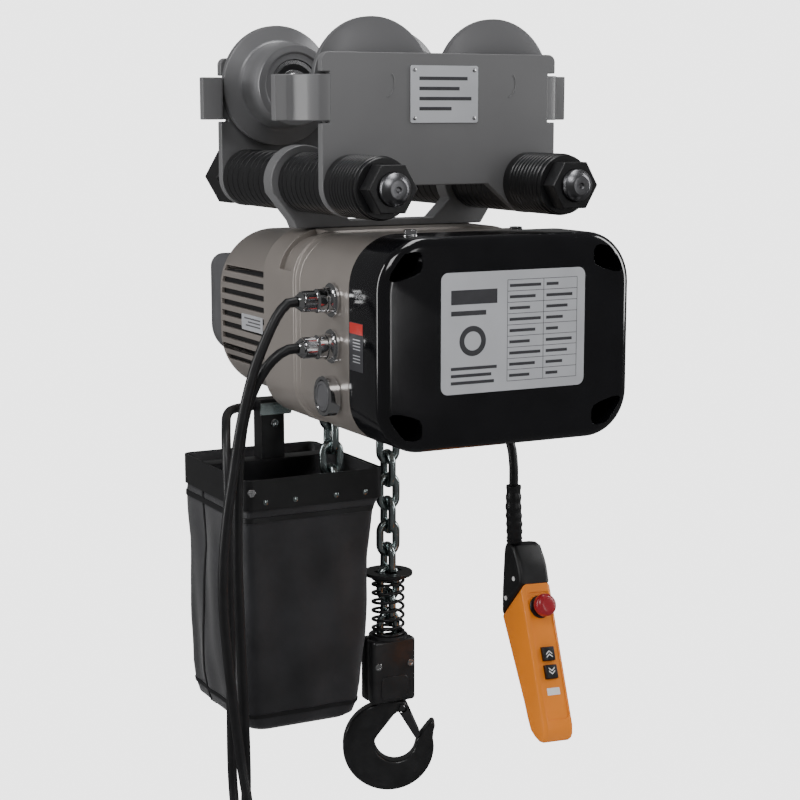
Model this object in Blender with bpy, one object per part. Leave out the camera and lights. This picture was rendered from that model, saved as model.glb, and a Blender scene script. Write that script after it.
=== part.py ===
"""Electric chain hoist hanging from a push trolley, as separate solids in metres, +Z up.

X runs along the beam, Y is the motor axis (the control cover faces -Y) and the origin
lies on the beam's running surface in the middle of the trolley.
"""
import math

import bmesh
import bpy
from mathutils import Matrix, Vector

GAP = 0.0003                    # clearance between pieces that touch

# trolley
PLATE_HALF = 0.174              # half length of a side plate along the beam
PLATE_TOP = 0.099
PLATE_BOTTOM = -0.072
PLATE_OUT = 0.178               # outer face of a side plate, from the middle plane
PLATE_THICK = 0.014
TAB_END = 0.219                 # end of the joggled bumper tab
TAB_OUT = 0.133                 # its outer face, set in towards the beam
TAB_LOW, TAB_HIGH = 0.012, 0.071
WHEEL_X, WHEEL_Z = 0.091, 0.060
FLANGE_R = 0.0855
AXLE_R = 0.0174
BEARING_R = 0.0357
SHAFT_X, SHAFT_Z, SHAFT_R = 0.133, -0.071, 0.021
SPACER_R = 0.0405
HANG_Y = -0.020                 # middle plane of the hanger and of both chains
HANGER_HALF = 0.014             # half thickness of the hanger plate
EYE_R = 0.050

# hoist body: X, Z and corner radius of its rounded section
BODY_X = 0.006
BODY_HALF = 0.183
BODY_TOP, BODY_BOTTOM = -0.134, -0.395
BODY_MID = (BODY_TOP + BODY_BOTTOM) / 2
COVER_FRONT, COVER_BACK = -0.345, -0.258
GEARBOX_BACK = -0.106
CHAINBOX_BACK = 0.013
COVER_TOP = -0.128
MOTOR_BACK = 0.203
CAP_BACK = 0.290
WALL = 0.005

# chain, sheave and drive train
LINK_PITCH = 0.034
LINK_BAR = 0.0112
LINK_REACH = 0.0238             # from a link's centre to the middle of its end bar
LINK_SIDE = 0.0130              # from its centre to the middle of a side bar
SHEAVE_R = 0.0448               # pitch radius, half the distance between the two falls
SHEAVE_Z = -0.262
MOTOR_X = 0.040                 # axis of rotor and pinion
GEAR_TEETH, PINION_TEETH = 30, 6
GEAR_MODULE = 2 * (SHEAVE_R + MOTOR_X) / (GEAR_TEETH + PINION_TEETH)

# hook block, rest position
BLOCK_TOP, BLOCK_BOTTOM = -0.731, -0.826
BLOCK_W, BLOCK_D = 0.070, 0.042
SPRING_TOP, SPRING_BOTTOM = -0.6385, -0.7305
HOOK_TURN = math.radians(-25)   # rest swivel of the hook
HOOK_Z = -0.896                 # centre of the hook's outer arc

# chain bag
BAG_X0, BAG_X1 = -0.236, -0.022
BAG_Y0, BAG_Y1 = -0.052, 0.186
BAG_RIM, FRAME_LOW = -0.473, -0.516
BAG_FLOOR = -0.835
STRIP = 0.003

# pendant and cables
PENDANT_TOP = (0.1435, -0.195, -0.6283)     # middle of the front panel's top edge
PENDANT_DOWN = (-0.05, -0.4067, -0.9135)    # along the front panel, towards its foot
PENDANT_HALF = 0.0235
CABLE_R = 0.0065
SOCKET_Y = -0.213
SOCKET_Z = (-0.213, -0.272)

POWER_ROUTE = (
    (-0.2282, -0.213, -0.2130), (-0.2400, -0.213, -0.2141), (-0.2540, -0.214, -0.228),
    (-0.2670, -0.215, -0.250),
    (-0.285, -0.215, -0.289), (-0.298, -0.216, -0.328), (-0.309, -0.217, -0.372),
    (-0.319, -0.219, -0.425), (-0.329, -0.222, -0.475), (-0.336, -0.224, -0.530),
    (-0.338, -0.225, -0.590), (-0.333, -0.225, -0.660), (-0.325, -0.224, -0.730),
    (-0.318, -0.228, -0.800), (-0.315, -0.241, -0.850), (-0.315, -0.2478, -0.8900),
)
CONTROL_ROUTE = (
    (-0.2282, -0.213, -0.2720), (-0.2400, -0.213, -0.2727), (-0.2540, -0.211, -0.280),
    (-0.2690, -0.208, -0.296),
    (-0.284, -0.205, -0.322), (-0.297, -0.202, -0.362), (-0.304, -0.202, -0.412),
    (-0.307, -0.202, -0.470), (-0.308, -0.202, -0.540), (-0.306, -0.201, -0.620),
    (-0.303, -0.199, -0.700), (-0.299, -0.196, -0.780), (-0.296, -0.190, -0.850),
    (-0.293, -0.176, -0.900), (-0.288, -0.152, -0.930), (-0.283, -0.124, -0.925),
    (-0.280, -0.106, -0.890), (-0.279, -0.099, -0.840), (-0.277, -0.095, -0.760),
    (-0.275, -0.092, -0.660), (-0.273, -0.088, -0.560), (-0.271, -0.080, -0.480),
    (-0.265, -0.062, -0.425), (-0.250, -0.025, -0.400), (-0.222, 0.040, -0.396),
    (-0.185, 0.105, -0.400), (-0.135, 0.145, -0.405), (-0.075, 0.150, -0.408),
    (-0.010, 0.118, -0.408), (0.048, 0.055, -0.407), (0.090, -0.025, -0.407),
    (0.112, -0.090, -0.408), (0.119, -0.135, -0.414), (0.120, -0.160, -0.432),
    (0.120, -0.169, -0.460), (0.120, -0.170, -0.4895),
)


def clear_scene():
    for item in list(bpy.data.objects):
        bpy.data.objects.remove(item, do_unlink=True)


def material(name, colour, roughness, metallic=0.0):
    mat = bpy.data.materials.new(name)
    mat.use_nodes = True
    shader = mat.node_tree.nodes["Principled BSDF"]
    shader.inputs["Base Color"].default_value = (*colour, 1.0)
    shader.inputs["Roughness"].default_value = roughness
    shader.inputs["Metallic"].default_value = metallic
    return mat


def make_materials():
    return {
        "trolley_paint": material("trolley_paint", (0.21, 0.21, 0.21), 0.55),
        "black_oxide": material("black_oxide", (0.02, 0.02, 0.022), 0.45, 0.6),
        "bearing_steel": material("bearing_steel", (0.35, 0.35, 0.36), 0.3, 1.0),
        "cast_body": material("cast_body", (0.40, 0.37, 0.34), 0.38, 0.5),
        "cap_grey": material("cap_grey", (0.16, 0.16, 0.17), 0.5),
        "gloss_black": material("gloss_black", (0.008, 0.008, 0.01), 0.12),
        "label_silver": material("label_silver", (0.62, 0.63, 0.66), 0.35, 0.4),
        "chrome": material("chrome", (0.6, 0.6, 0.6), 0.1, 1.0),
        "chain_steel": material("chain_steel", (0.35, 0.38, 0.38), 0.25, 1.0),
        "hook_black": material("hook_black", (0.012, 0.012, 0.013), 0.4),
        "rubber": material("rubber", (0.015, 0.015, 0.015), 0.55),
        "bag_cloth": material("bag_cloth", (0.02, 0.02, 0.024), 0.8),
        "pendant_orange": material("pendant_orange", (0.80, 0.30, 0.015), 0.4),
        "button_red": material("button_red", (0.45, 0.02, 0.035), 0.35),
        "copper": material("copper", (0.6, 0.25, 0.12), 0.4, 1.0),
    }


def finish(bm, name, mat, origin=(0, 0, 0), smooth=40):
    """Turn a bmesh in world coordinates into a named object with its origin at origin."""
    bmesh.ops.remove_doubles(bm, verts=bm.verts, dist=1e-6)
    bmesh.ops.recalc_face_normals(bm, faces=bm.faces)
    if bm.calc_volume(signed=True) < 0:
        bmesh.ops.reverse_faces(bm, faces=bm.faces)
    bmesh.ops.translate(bm, verts=bm.verts, vec=-Vector(origin))
    mesh = bpy.data.meshes.new(name)
    bm.to_mesh(mesh)
    bm.free()
    mesh.shade_smooth()
    mesh.set_sharp_from_angle(angle=math.radians(smooth))
    obj = bpy.data.objects.new(name, mesh)
    obj.location = origin
    obj.data.materials.append(mat)
    bpy.context.scene.collection.objects.link(obj)
    return obj


def cutter(obj):
    obj.hide_render = True
    obj.display_type = "WIRE"
    return obj


def boolean(obj, tool, operation="DIFFERENCE"):
    mod = obj.modifiers.new(operation.lower(), "BOOLEAN")
    mod.operation = operation
    mod.solver = "EXACT"
    mod.object = cutter(tool)
    return obj


def loft(rings, closed=False):
    """Skin rings of equally many points; the ends are capped unless the loft is closed."""
    bm = bmesh.new()
    loops = [[bm.verts.new(point) for point in ring] for ring in rings]
    pairs = list(zip(loops, loops[1:]))
    if closed:
        pairs.append((loops[-1], loops[0]))
    for first, second in pairs:
        for i in range(len(first)):
            bm.faces.new((first[i - 1], first[i], second[i], second[i - 1]))
    if not closed:
        bm.faces.new(loops[0])
        bm.faces.new(loops[-1])
    return bm


AXES = {
    "x": Matrix(((0, 0, 1), (1, 0, 0), (0, 1, 0))),
    "y": Matrix(((1, 0, 0), (0, 0, 1), (0, 1, 0))),
    "z": Matrix.Identity(3),
}


def turned(profile, centre, axis="y", segments=20, bored=False):
    """Spin (radius, height) points about an axis through centre; heights are world values."""
    bm = bmesh.new()
    verts = [bm.verts.new((radius, 0, height)) for radius, height in profile]
    for a, b in zip(verts, verts[1:]):
        bm.edges.new((a, b))
    if bored:
        bm.edges.new((verts[-1], verts[0]))
    bmesh.ops.spin(bm, geom=bm.verts[:] + bm.edges[:], angle=2 * math.pi, steps=segments,
                   axis=(0, 0, 1), cent=(0, 0, 0), use_merge=True)
    bmesh.ops.remove_doubles(bm, verts=bm.verts, dist=1e-6)
    bmesh.ops.transform(bm, matrix=AXES[axis].to_4x4(), verts=bm.verts)
    shift = Vector(centre)
    shift["xyz".index(axis)] = 0
    bmesh.ops.translate(bm, verts=bm.verts, vec=shift)
    return bm


def box(low, high, bevel=0.0, segments=2):
    bm = bmesh.new()
    bmesh.ops.create_cube(bm, size=1.0)
    low, high = Vector(low), Vector(high)
    bmesh.ops.scale(bm, vec=high - low, verts=bm.verts)
    bmesh.ops.translate(bm, vec=(high + low) / 2, verts=bm.verts)
    if bevel:
        bmesh.ops.bevel(bm, geom=bm.edges[:], offset=bevel, segments=segments, profile=0.5,
                        affect="EDGES")
    return bm


def arc(centre, radius, start, end, steps):
    """Points on an arc in a plane, angles in degrees."""
    points = []
    for i in range(steps + 1):
        angle = math.radians(start + (end - start) * i / steps)
        points.append((centre[0] + radius * math.cos(angle), centre[1] + radius * math.sin(angle)))
    return points


def extruded(outline, low, high, plane="xz"):
    """Extrude an outline along the axis that its plane leaves out."""
    axis = next(i for i, letter in enumerate("xyz") if letter not in plane)
    first, second = ("xyz".index(letter) for letter in plane)
    bm = bmesh.new()
    verts = []
    for u, v in outline:
        point = [0.0, 0.0, 0.0]
        point[first], point[second], point[axis] = u, v, low
        verts.append(bm.verts.new(point))
    face = bm.faces.new(verts)
    out = bmesh.ops.extrude_face_region(bm, geom=[face])
    step = Vector((0, 0, 0))
    step[axis] = high - low
    bmesh.ops.translate(bm, vec=step, verts=[v for v in out["geom"] if isinstance(v, bmesh.types.BMVert)])
    return bm


def section(y, half, top, bottom, r_top, r_bottom, steps=5):
    """Rounded rectangular ring of the hoist's body at one Y."""
    left, right = BODY_X - half, BODY_X + half
    points = arc((right - r_top, top - r_top), r_top, 0, 90, steps)
    points += arc((left + r_top, top - r_top), r_top, 90, 180, steps)
    points += arc((left + r_bottom, bottom + r_bottom), r_bottom, 180, 270, steps)
    points += arc((right - r_bottom, bottom + r_bottom), r_bottom, 270, 360, steps)
    return [(x, y, z) for x, z in points]


def body_ring(y, inset=0.0, r_top=0.066, r_bottom=0.060):
    return section(y, BODY_HALF - inset, BODY_TOP - inset, BODY_BOTTOM + inset,
                   r_top - inset * 0.8, r_bottom - inset * 0.8)


def guide_material():
    return bpy.data.materials.get("guide") or material("guide", (1, 0, 0), 0.5)


def cylinder_tool(name, centre, radius, low, high, axis="y", segments=20):
    bm = turned([(0, low), (radius, low), (radius, high), (0, high)], centre, axis, segments)
    return cutter(finish(bm, name, guide_material()))


def box_tool(name, low, high):
    return cutter(finish(box(low, high), name, guide_material()))


def round_ring(centre, radius, y, steps=24):
    """Circle about a Y axis through centre (X, Z)."""
    return [(x, y, z) for x, z in arc(centre, radius, 0, 360 - 360 / steps, steps - 1)]


def hex_ring(centre, corner, y, steps=24):
    """Hexagon with as many points as round_ring, one corner towards -X."""
    points = []
    for i in range(steps):
        angle = 2 * math.pi * i / steps
        part = angle % (math.pi / 3) - math.pi / 6
        radius = corner * math.cos(math.pi / 6) / math.cos(part)
        points.append((centre[0] + radius * math.cos(angle), y,
                       centre[1] + radius * math.sin(angle)))
    return points


def flat_ring(x0, x1, y0, y1, radius, z, steps=3):
    """Rounded rectangle in a horizontal plane."""
    points = arc((x1 - radius, y1 - radius), radius, 0, 90, steps)
    points += arc((x0 + radius, y1 - radius), radius, 90, 180, steps)
    points += arc((x0 + radius, y0 + radius), radius, 180, 270, steps)
    points += arc((x1 - radius, y0 + radius), radius, 270, 360, steps)
    return [(x, y, z) for x, y in points]


def bevel_rims(bm, axis, offset, segments=1):
    """Round the two outlines of a body extruded along an axis (0, 1 or 2)."""
    rims = [e for e in bm.edges if abs(e.verts[0].co[axis] - e.verts[1].co[axis]) < 1e-7]
    bmesh.ops.bevel(bm, geom=rims, offset=offset, segments=segments, profile=0.5,
                    affect="EDGES", clamp_overlap=True, material=-1)
    return bm


def tube(name, route, radius, mat, resolution=1, cyclic=False):
    """Round bar along points, with filled ends."""
    curve = bpy.data.curves.new(name, "CURVE")
    curve.dimensions = "3D"
    curve.bevel_depth = radius
    curve.bevel_resolution = resolution
    curve.use_fill_caps = True
    spline = curve.splines.new("POLY")
    spline.points.add(len(route) - 1)
    for point, place in zip(spline.points, route):
        point.co = (*place, 1.0)
    spline.use_cyclic_u = cyclic
    curve.materials.append(mat)
    obj = bpy.data.objects.new(name, curve)
    bpy.context.scene.collection.objects.link(obj)
    return obj


def smooth_route(points, spacing=0.024):
    """Catmull-Rom curve through the points, evenly spaced after its short straight start."""
    points = [Vector(p) for p in points]
    padded = [2 * points[0] - points[1]] + points + [2 * points[-1] - points[-2]]
    fine = []
    for a, b, c, d in zip(padded, padded[1:], padded[2:], padded[3:]):
        for i in range(12):
            t = i / 12
            fine.append(0.5 * (2 * b + (c - a) * t + (2 * a - 5 * b + 4 * c - d) * t ** 2
                               + (3 * b - a - 3 * c + d) * t ** 3))
    fine.append(points[-1])
    start, fine = fine[0], fine[12:]
    length = sum((q - p).length for p, q in zip(fine, fine[1:]))
    count = max(2, round(length / spacing))
    result, walked, target = [fine[0]], 0.0, length / count
    for p, q in zip(fine, fine[1:]):
        step = (q - p).length
        while walked + step >= target and len(result) < count:
            result.append(p.lerp(q, (target - walked) / step))
            target += length / count
        walked += step
    return [start] + result + [fine[-1]]


# trolley
def plate_outline():
    corner, lobe, relief = 0.010, 0.041, 0.003
    notch = ((PLATE_HALF, TAB_LOW - relief), (0.163, TAB_LOW - relief),
             (0.163, TAB_HIGH + relief), (PLATE_HALF, TAB_HIGH + relief))
    points = arc((PLATE_HALF - corner, PLATE_TOP - corner), corner, 0, 90, 3)
    points += arc((corner - PLATE_HALF, PLATE_TOP - corner), corner, 90, 180, 3)
    points += [(-x, z) for x, z in reversed(notch)]
    points += arc((-SHAFT_X, SHAFT_Z), lobe, 180, 310, 8)
    points += [(-0.070, PLATE_BOTTOM), (0.070, PLATE_BOTTOM)]
    points += arc((SHAFT_X, SHAFT_Z), lobe, 230, 360, 8)
    return points + list(notch)


def tab_outline(end, side):
    outer = ((0.158, 0.1775), (0.168, 0.1775), (0.183, 0.170), (0.194, 0.143), (0.200, 0.1345),
             (TAB_END, TAB_OUT))
    inner = ((TAB_END, 0.119), (0.192, 0.119), (0.187, 0.124), (0.1787, 0.1485),
             (0.1775, 0.1580), (0.171, 0.1645), (0.158, 0.1645))
    return [(end * x, side * y) for x, y in outer + inner]


def side_plate(name, side, paint, holes):
    inner = side * (PLATE_OUT - PLATE_THICK)
    plate = finish(extruded(plate_outline(), inner, side * PLATE_OUT), name, paint)
    for end in (-1, 1):
        tab = finish(extruded(tab_outline(end, side), TAB_LOW, TAB_HIGH, "xy"),
                     f"guide_tab_{name}_{end + 1}", guide_material())
        boolean(plate, tab, "UNION")
    for hole in holes:
        boolean(plate, hole)
    return plate


def trolley_wheel(name, x, side, mat):
    profile = ((0.0365, 0.090), (0.044, 0.090), (0.046, 0.087), (0.055, 0.087), (0.057, 0.089),
               (0.062, 0.139), (0.083, 0.146), (FLANGE_R, 0.149), (FLANGE_R, 0.156),
               (0.083, 0.158), (0.040, 0.158), (0.0365, 0.156))
    bm = turned([(r, side * y) for r, y in profile], (x, 0, WHEEL_Z), bored=True)
    return finish(bm, name, mat, (x, side * 0.120, WHEEL_Z))


def wheel_axle(name, x, side, mat):
    """Stub axle with its bearing pressed on and a spigot through the side plate."""
    profile = ((0, 0.088), (AXLE_R, 0.088), (AXLE_R, 0.092), (BEARING_R, 0.092), (BEARING_R, 0.154),
               (AXLE_R, 0.154), (AXLE_R, 0.1585), (0.024, 0.1585), (0.024, 0.1637),
               (0.020, 0.1637), (0.020, PLATE_OUT), (0, PLATE_OUT))
    bm = turned([(r, side * y) for r, y in profile], (x, 0, WHEEL_Z))
    return finish(bm, name, mat)


def load_shaft(name, x, mat):
    centre = (x, SHAFT_Z)
    rings = [round_ring(centre, 0.012, -0.311), round_ring(centre, SHAFT_R, -0.303),
             round_ring(centre, SHAFT_R, 0.1783), hex_ring(centre, 0.0435, 0.1783),
             hex_ring(centre, 0.0435, 0.228)]
    return finish(loft(rings), name, mat)


def shaft_nut(name, x, mat):
    centre, bore = (x, SHAFT_Z), SHAFT_R + GAP
    rings = [round_ring(centre, bore, -0.2623), round_ring(centre, 0.039, -0.2623),
             round_ring(centre, 0.039, -0.270), hex_ring(centre, 0.0346, -0.270),
             hex_ring(centre, 0.0346, -0.296), round_ring(centre, bore, -0.296)]
    return finish(loft(rings, closed=True), name, mat)


def spacer_pack(name, x, front, back, mat):
    """Adjusting washers on a load shaft, drawn as one sleeve."""
    bore = SHAFT_R + GAP
    profile = [(bore, front), (SPACER_R, front), (SPACER_R, back), (bore, back)]
    return finish(turned(profile, (x, 0, SHAFT_Z), segments=24, bored=True), name, mat)


def hanger_plate(paint, holes):
    points = [(-0.146, BODY_TOP + GAP), (-0.150, -0.124), (-0.181, -0.085)]
    points += arc((-SHAFT_X, SHAFT_Z), EYE_R, 180, -33, 12)
    points += [(-0.065, -0.124), (0.065, -0.124)]
    points += arc((SHAFT_X, SHAFT_Z), EYE_R, 213, 0, 12)
    points += [(0.181, -0.085), (0.165, -0.100), (0.143, BODY_TOP + GAP)]
    bm = extruded(points, HANG_Y - HANGER_HALF, HANG_Y + HANGER_HALF)
    obj = finish(bm, "hanger_plate", paint)
    for hole in holes:
        boolean(obj, hole)
    return obj


def build_trolley(mats):
    paint, black = mats["trolley_paint"], mats["black_oxide"]
    holes = [cylinder_tool(f"guide_axle_{n}", (x, 0, WHEEL_Z), 0.0203, -0.2, 0.2)
             for n, x in enumerate((-WHEEL_X, WHEEL_X))]
    shafts = [cylinder_tool(f"guide_shaft_{n}", (x, 0, SHAFT_Z), SHAFT_R + GAP, -0.2, 0.2, "y", 24)
              for n, x in enumerate((-SHAFT_X, SHAFT_X))]
    for where, side in (("front", -1), ("rear", 1)):
        side_plate(f"side_plate_{where}", side, paint, holes + shafts)
        for hand, x in (("left", -WHEEL_X), ("right", WHEEL_X)):
            trolley_wheel(f"wheel_{where}_{hand}", x, side, paint)
            wheel_axle(f"wheel_axle_{where}_{hand}", x, side, mats["bearing_steel"])
    hanger_plate(paint, shafts)
    inside = PLATE_OUT - PLATE_THICK - GAP
    hanger_front, hanger_back = HANG_Y - HANGER_HALF - GAP, HANG_Y + HANGER_HALF + GAP
    for hand, x in (("left", -SHAFT_X), ("right", SHAFT_X)):
        load_shaft(f"load_shaft_{hand}", x, black)
        shaft_nut(f"shaft_nut_{hand}", x, black)
        spacer_pack(f"outer_spacers_{hand}", x, -0.262, -PLATE_OUT - GAP, black)
        spacer_pack(f"inner_spacers_front_{hand}", x, -inside, hanger_front, black)
        spacer_pack(f"inner_spacers_rear_{hand}", x, hanger_back, inside, black)


# hoist body
def control_cover(mats):
    def ring(y, inset):
        return section(y, BODY_HALF - inset, COVER_TOP - inset, BODY_BOTTOM + inset,
                       0.066 - inset * 0.8, 0.060 - inset * 0.8)

    rings = [ring(COVER_BACK - GAP, 0), ring(-0.333, 0), ring(-0.342, 0.006),
             ring(COVER_FRONT, 0.016)]
    cover = finish(loft(rings), "control_cover", mats["gloss_black"])
    cavities = (((-0.171, -0.332, -0.335), (0.183, -0.2, -0.195)),
                ((-0.115, -0.332, -0.389), (0.127, -0.2, -0.136)))
    for n, (low, high) in enumerate(cavities):
        boolean(cover, box_tool(f"guide_cover_{n}", low, high))
    for n, (x, z) in enumerate(((-0.150, -0.158), (0.162, -0.158), (-0.150, -0.371),
                                (0.162, -0.371))):
        pocket = cylinder_tool(f"guide_pocket_{n}", (x, 0, z), 0.024, -0.36, -0.275)
        boolean(cover, pocket)


def control_housing(mats):
    front, back = COVER_BACK, GEARBOX_BACK - GAP
    rings = [body_ring(front, 0.006), body_ring(front), body_ring(back), body_ring(back, 0.006)]
    finish(loft(rings, closed=True), "control_housing", mats["cast_body"])


def chain_housing(mats):
    housing = finish(loft([body_ring(GEARBOX_BACK), body_ring(CHAINBOX_BACK)]), "chain_housing",
                     mats["cast_body"])
    tools = [
        box_tool("guide_gear_room", (-0.144, -0.2, -0.374), (0.156, -0.060, -0.155)),
        box_tool("guide_chain_room", (-0.1143, -0.048, -0.45), (0.0263, 0.008, -0.1415)),
        cylinder_tool("guide_sheave_bore", (-SHEAVE_R, 0, SHEAVE_Z), 0.0123, -0.2, 0.1),
        cylinder_tool("guide_rotor_bore", (MOTOR_X, 0, SHEAVE_Z), 0.0103, -0.2, 0.1),
    ]
    for tool in tools:
        boolean(housing, tool)


def chain_guide(mats):
    guide = finish(box((-0.1140, -0.0477, -0.402), (0.0260, 0.0077, -0.374)), "chain_guide",
                   mats["black_oxide"])
    for n, x in enumerate((0, -2 * SHEAVE_R)):
        slot = box_tool(f"guide_slot_{n}", (x - 0.0215, HANG_Y - 0.0215, -0.5),
                        (x + 0.0215, HANG_Y + 0.0215, -0.3))
        boolean(guide, slot)


def motor_cover(mats):
    front, back, wall = CHAINBOX_BACK + GAP, MOTOR_BACK, WALL

    def ring(y, inset=0.0):
        return section(y, 0.171 - inset, -0.148 - inset, -0.385 + inset, 0.085 - inset,
                       0.085 - inset)

    cover = finish(loft([ring(back - wall, wall), ring(front, wall), ring(front), ring(back)]),
                   "motor_cover", mats["cast_body"])
    louvres = bmesh.new()
    for n in range(9):
        z = -0.2032 - 0.0164 * n
        bmesh.ops.create_cube(louvres, size=1.0, matrix=Matrix.Translation((0, 0.110, z))
                              @ Matrix.Diagonal((0.5, 0.170, 0.0078, 1)))
    boolean(cover, cutter(finish(louvres, "guide_louvres", guide_material())))


def motor_end_cap(mats):
    def ring(y, half, top, bottom):
        return section(y, half, top, bottom, 0.020, 0.048)

    front = MOTOR_BACK + GAP
    rings = [ring(0.285, 0.147, -0.196, -0.338), ring(front, 0.153, -0.191, -0.345),
             ring(front, 0.158, -0.186, -0.350), ring(0.250, 0.156, -0.187, -0.347),
             ring(CAP_BACK, 0.152, -0.190, -0.343)]
    finish(loft(rings), "motor_end_cap", mats["cap_grey"])


def side_fittings(mats):
    """Sockets with their connectors, and the round cap, on the -X side."""
    face = BODY_X - BODY_HALF - GAP
    for name, z in (("power", SOCKET_Z[0]), ("control", SOCKET_Z[1])):
        socket = [(0, face), (0.022, face), (0.022, -0.1815), (0.0165, -0.1815),
                  (0.0165, -0.190), (0, -0.190)]
        plug = [(0, -0.1903), (0.0155, -0.1903), (0.0155, -0.201), (0.0135, -0.203),
                (0.0135, -0.2225), (0.009, -0.2275), (0, -0.2275)]
        centre = (0, SOCKET_Y, z)
        finish(turned(socket, centre, "x"), f"{name}_socket", mats["chrome"])
        finish(turned(plug, centre, "x"), f"{name}_connector", mats["chrome"])
    cap = [(0, face), (0.026, face), (0.026, -0.192), (0.0235, -0.196), (0, -0.197)]
    finish(turned(cap, (0, -0.211, -0.336), "x"), "port_cap", mats["cap_grey"])


# drive train
def gear_outline(centre, teeth, turn):
    pitch = GEAR_MODULE * teeth / 2
    tip, root = pitch + 0.8 * GEAR_MODULE, pitch - 1.15 * GEAR_MODULE
    points = []
    for tooth in range(teeth):
        for part, radius in ((-0.21, root), (-0.06, tip), (0.06, tip), (0.21, root)):
            angle = 2 * math.pi * (tooth + turn + part) / teeth
            points.append((centre[0] + radius * math.cos(angle),
                           centre[1] + radius * math.sin(angle)))
    return points


def drive_train(mats):
    steel = mats["bearing_steel"]
    sheave_axis, motor_axis = (-SHEAVE_R, 0, SHEAVE_Z), (MOTOR_X, 0, SHEAVE_Z)
    flange, flank, groove = 0.052, 0.0385, 0.0245
    profile = [(0, -0.144), (0.012, -0.144), (0.012, HANG_Y - 0.025), (flange, HANG_Y - 0.025),
               (flange, HANG_Y - 0.0205), (flank, HANG_Y - 0.0205), (flank, HANG_Y - 0.0068),
               (groove, HANG_Y - 0.0068), (groove, HANG_Y + 0.0068), (flank, HANG_Y + 0.0068),
               (flank, HANG_Y + 0.0205), (flange, HANG_Y + 0.0205), (flange, HANG_Y + 0.025),
               (0.012, HANG_Y + 0.025), (0.012, 0.0122), (0, 0.0122)]
    finish(turned(profile, sheave_axis), "load_sheave", steel, (-SHEAVE_R, HANG_Y, SHEAVE_Z))
    gear = finish(extruded(gear_outline((-SHEAVE_R, SHEAVE_Z), GEAR_TEETH, 0.5), -0.140, -0.124),
                  "drive_gear", steel, (-SHEAVE_R, HANG_Y, SHEAVE_Z))
    boolean(gear, cylinder_tool("guide_gear_bore", sheave_axis, 0.0123, -0.2, -0.1))
    profile = [(0, -0.142), (0.010, -0.142), (0.010, 0.035), (0.045, 0.035), (0.045, 0.135),
               (0.010, 0.135), (0.010, 0.195), (0, 0.195)]
    rotor = finish(turned(profile, motor_axis), "motor_rotor", steel, (MOTOR_X, 0.080, SHEAVE_Z))
    pinion = finish(extruded(gear_outline((MOTOR_X, SHEAVE_Z), PINION_TEETH, 0), -0.1415, -0.122),
                    "guide_pinion", guide_material())
    boolean(rotor, pinion, "UNION")
    disc = [(0.0103, 0.165), (0.055, 0.165), (0.055, 0.172), (0.0103, 0.172)]
    finish(turned(disc, motor_axis, bored=True), "brake_disc", mats["black_oxide"],
           (MOTOR_X, 0.080, SHEAVE_Z))


def motor_stator(mats):
    """Laminated stack on a flange that bolts to the chain housing."""
    front, plate = CHAINBOX_BACK + GAP, 0.020
    centre = (MOTOR_X, SHEAVE_Z)

    def flange(y):
        return section(y, 0.160, -0.160, -0.374, 0.075, 0.075)

    rings = [round_ring(centre, 0.046, front), flange(front), flange(plate),
             round_ring(centre, 0.085, plate), round_ring(centre, 0.085, 0.140),
             round_ring(centre, 0.046, 0.140)]
    finish(loft(rings, closed=True), "motor_stator", mats["copper"])


# chains
def stadium(place, along, across):
    """Centreline of one link."""
    points = []
    for end, start in ((1, 90), (-1, 270)):
        for u, v in arc((0, 0), LINK_SIDE, start, start - 180, 3):
            points.append(place + along * (end * (LINK_REACH - LINK_SIDE) + u) + across * v)
    return points


def link_mesh(name, links):
    """Mesh of separate links, each a bevelled ring (place, along, across)."""
    curve = bpy.data.curves.new(name, "CURVE")
    curve.dimensions = "3D"
    curve.bevel_depth = LINK_BAR / 2 / math.cos(math.pi / 6)
    curve.bevel_resolution = 1
    for link in links:
        points = stadium(*link)
        spline = curve.splines.new("POLY")
        spline.points.add(len(points) - 1)
        for point, place in zip(spline.points, points):
            point.co = (*place, 1.0)
        spline.use_cyclic_u = True
    holder = bpy.data.objects.new(name, curve)
    mesh = bpy.data.meshes.new_from_object(holder)
    bpy.data.objects.remove(holder)
    bm = bmesh.new()
    bm.from_mesh(mesh)
    return bm


def chain(name, links, mat, origin):
    obj = finish(link_mesh(f"{name}_curve", links[0::2]), name, mat, origin)
    other = finish(link_mesh(f"{name}_curve", links[1::2]), f"guide_{name}", guide_material())
    boolean(obj, other, "UNION")
    return obj


def hanging_links(x, lowest, count, first):
    """Vertical fall; the lowest link is centred at `lowest`, first is its width axis."""
    sides = (Vector((1, 0, 0)), Vector((0, 1, 0)))
    links = []
    for n in range(count):
        place = Vector((x, HANG_Y, lowest + LINK_PITCH * n))
        links.append((place, Vector((0, 0, 1)), sides[(n + first) % 2]))
    return links


def heaped_links():
    """Chain coiled in the foot of the bag."""
    centre, radius, rise = Vector((-0.145, 0.067, -0.800)), 0.040, 0.040
    step = 2 * math.asin(LINK_PITCH / 2 / radius)
    corners = []
    for n in range(11):
        angle = step * n
        offset = Vector((math.cos(angle), math.sin(angle), 0)) * radius
        offset.z = rise * angle / (2 * math.pi)
        corners.append(centre + offset)
    links = []
    for n, (a, b) in enumerate(zip(corners, corners[1:])):
        along = (b - a).normalized()
        flat = along.cross(Vector((0, 0, 1))).normalized()
        side = flat if n % 2 else flat.cross(along).normalized()
        links.append(((a + b) / 2, along, side))
    return links


def build_chains(mats):
    steel = mats["chain_steel"]
    chain("load_chain", hanging_links(0, -0.7198, 13, 0), steel, (0, HANG_Y, BLOCK_TOP))
    chain("slack_chain", hanging_links(-2 * SHEAVE_R, -0.5618, 10, 1), steel,
          (-2 * SHEAVE_R, HANG_Y, -0.40))
    chain("stored_chain", heaped_links(), steel, (0, 0, 0))


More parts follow.
